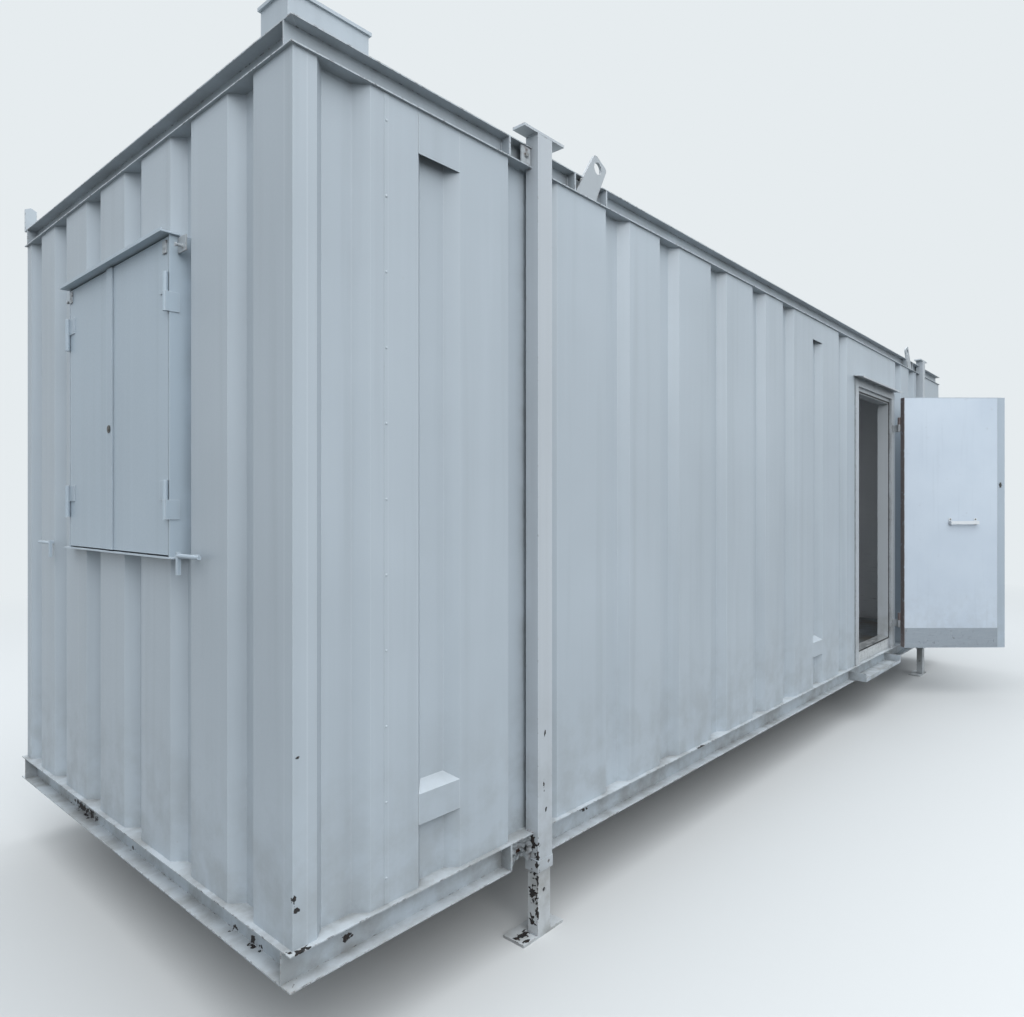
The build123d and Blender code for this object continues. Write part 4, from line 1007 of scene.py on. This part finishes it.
# %% Hook stubs, lugs and the button lock
WALL_X = BASE_LOW.x + WALL_IN
LEAF_X = BASE_LOW.x - 0.013
STRIP_X = BASE_LOW.x - 0.019
LEFTWARD = (-1, 0, 0)
HOOK_STUB = (
    (0, 0.008), (0.003, 0.008), (0.004, 0.005), (0.020, 0.005),
    (0.021, 0.007), (0.025, 0.007), (0.026, 0.006),
)
BUTTON = (
    (0, 0.015), (0.002, 0.015), (0.0035, 0.013),
    (0.0035, 0.009), (0.0050, 0.0085), (0.0056, 0.006),
)
stubs = bmesh.new()
for side in (-1, 1):
    near, middle, far = (MIDDLE_Y + side * out for out in (0.494, 0.530, 0.552))
    bar(stubs, (WALL_X - 0.005, near, 2.440), (WALL_X + 0.0005, far, 2.494), 0.0012)
    turned(stubs, (WALL_X - 0.004, middle, 2.458), LEFTWARD, HOOK_STUB, 16)
finish_piece("hook_stubs", stubs, lifting_paint)

for side, leaf in ((-1, "shutter_right"), (1, "shutter_left")):
    lug = bmesh.new()
    near, middle, far = (MIDDLE_Y + side * out for out in (0.446, 0.461, 0.476))
    bar(lug, (LEAF_X - 0.005, near, 2.440), (LEAF_X + 0.0004, far, 2.484), 0.0012)
    heads(lug, [(LEAF_X - 0.004, middle, 2.462)], LEFTWARD, DOME_HEAD, 0.008, 12)
    finish_piece(leaf + "_lug", lug, lifting_paint, leaf)

button = bmesh.new()
turned(button, (STRIP_X + 0.0002, MIDDLE_Y + 0.030, 1.889), LEFTWARD, BUTTON, 24)
finish_piece("shutter_button_lock", button, lock_metal, "shutter_left")

# %% [markdown]
# ## Roof
# Self drilling screws with washers hold the roof sheet down through its ribs, at both eaves and at
# the joists between. The long rail is bolted to its brackets, and a dark screw shows on the box.

# %% Roof screws, rail bolts and box screws
RIB_PITCH = 0.333
RIB_TOP = 2.9511
UNDER_BOX = (-3.33, -0.56)
roof_screws = bmesh.new()
spots = [
    Vector((x, MIDDLE_Y + y, RIB_TOP))
    for x in ((i - 10) * RIB_PITCH for i in range(21))
    for y in (-1.125, -0.56, 0.0, 0.56, 1.125)
    if abs(x - UNDER_BOX[0]) > 0.15 or y != UNDER_BOX[1]
]
heads(roof_screws, spots, (0, 0, 1), HEX_HEAD, 0.0065, 8)
finish_piece("roof_screws", roof_screws, plated)

RAIL_FACE = BASE_LOW.y + 0.1965
rail_bolts = bmesh.new()
bracket_low, bracket_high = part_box("roof_edge_brackets")
for x in (bracket_low[0] + 0.020, bracket_high[0] - 0.020):
    spots = [(x, RAIL_FACE, height) for height in (2.990, 3.012)]
    heads(rail_bolts, spots, (0, -1, 0), HEX_HEAD, 0.0045, 6)
finish_piece("edge_rail_bolts", rail_bolts, plated)

box_screws = bmesh.new()
box_low, box_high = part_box("roof_vent_box")
for y, outward in zip((box_low[1] + 0.0003, box_high[1] - 0.0003), OUTWARD):
    heads(box_screws, [(box_low[0] + 0.161, y, 3.178)], outward, PAN_HEAD, 0.006, 12)
finish_piece("roof_box_screws", box_screws, dark_steel)

# %% [markdown]
# ## Inside
# Through the open door the far lining shows. Its boards meet every 1.22 m under a PVC cover strip,
# and a skirting closes the joint with the floor.

# %% Cover strips and skirting
BOARD_WIDTH = 1.22
LINING_IN = 0.113
SKIRTING_TOP = 0.470
far_face = BASE_HIGH.y - LINING_IN
strips = bmesh.new()
x = BASE_LOW.x + LINING_IN + BOARD_WIDTH
while x < BASE_HIGH.x - 0.3:
    corner = (x - 0.020, far_face - 0.003, SKIRTING_TOP)
    bar(strips, corner, (x + 0.020, far_face + 0.0003, 2.8415))
    x += BOARD_WIDTH
corner = (BASE_LOW.x + 0.1135, far_face - 0.011, 0.3905)
bar(strips, corner, (BASE_HIGH.x - 0.1135, far_face + 0.0003, SKIRTING_TOP), 0.002)
finish_piece("lining_cover_strips", strips, trim)

# %% [markdown]
# ## Studio floor and light
# The cabin stands on a plain pale floor. A floor as pale as it looks would throw light up under
# the rails, where the real ones are dark, so only rays that come straight from the camera, or off
# gloss or glass, see the pale shade. The world does the same for the background, and far out the
# floor fades into it, as a paper sweep does in a studio.

# %% Pale floor and background
HALF_FLOOR = 60.0
BACKGROUND = "#E6ECEF"


def seen_rays(tree):
    """1 for rays from the camera, off gloss or through glass."""
    rays = add_node(tree, "LightPath").node.outputs
    seen = rays["Is Camera Ray"]
    for kind in ("Is Glossy Ray", "Is Transmission Ray"):
        seen = add_node(tree, "Math", seen, rays[kind], operation="MAXIMUM")
    return seen


floor_mesh = bpy.data.meshes.new("floor")
corners = [(x * HALF_FLOOR, y * HALF_FLOOR, 0) for x, y in ((-1, -1), (1, -1), (1, 1), (-1, 1))]
floor_mesh.from_pydata(corners, [], [(0, 1, 2, 3)])
floor = bpy.data.objects.new("floor", floor_mesh)
scene.collection.objects.link(floor)
floor_paint, tree, shader, place = new_material("studio_floor_painted", 0.9)
feed(shader, Base_Color=weathered(tree, "#62625F", (seen_rays(tree), "#C6C8C8")))
from_middle = add_node(tree, "VectorMath", place, operation="LENGTH")
far = add_node(tree, "MapRange", from_middle, 6.0, 13.0)
faded = add_node(tree, "Math", far, seen_rays(tree), operation="MULTIPLY")
haze = add_node(tree, "Emission", Color=colour(BACKGROUND))
surface = add_node(tree, "MixShader", faded, shader.outputs[0], haze)
tree.links.new(surface, tree.nodes["Material Output"].inputs["Surface"])
floor_mesh.materials.append(floor_paint)

world = bpy.data.worlds.new("studio")
scene.world = world
world.use_nodes = True
tree = world.node_tree
tree.nodes.clear()
fill = add_node(tree, "Background", Color=colour("#DDE6EF"), Strength=0.93)
shown = add_node(tree, "Background", Color=colour(BACKGROUND))
both = add_node(tree, "MixShader", seen_rays(tree), fill, shown)
add_node(tree, "OutputWorld", Surface=both)
print("floor fades into the background between 6 and 13 m")

# %% [markdown]
# A day with high cloud lights the long wall a little more than the window end, so the main lamp
# hangs out before it. It is large, and its shadows are soft. Others light the roof and the rear. A
# faint one inside stands for the daylight that a real room always gets from somewhere.

# %% Three large lamps and a faint one
# Each lamp's place, the point it looks at, its size in metres and its power in watts
LAMPS = {
    "front_lamp": ((-9.0, -13.4, 8.5), (-1.5, 0.0, 1.4), 10.0, 1150.0),
    "sky_lamp": ((-2.0, -2.0, 13.0), (-1.0, -0.5, 0.0), 18.0, 2000.0),
    "rear_lamp": ((7.5, 14.0, 8.5), (1.0, 0.5, 1.4), 10.0, 600.0),
    "room_lamp": ((1.2, 0.5, 2.80), (1.2, 0.5, 0.0), 1.2, 5.0),
}
for name, (spot, aim, size, power) in LAMPS.items():
    lamp_data = bpy.data.lights.new(name, "AREA")
    lamp_data.size = size
    lamp_data.energy = power
    lamp = bpy.data.objects.new(name, lamp_data)
    lamp.location = spot
    lamp.visible_camera = False
    lamp.rotation_euler = (Vector(aim) - Vector(spot)).to_track_quat("-Z", "Y").to_euler()
    scene.collection.objects.link(lamp)
scene.view_settings.view_transform = "Standard"
print("lamps:", len(LAMPS))
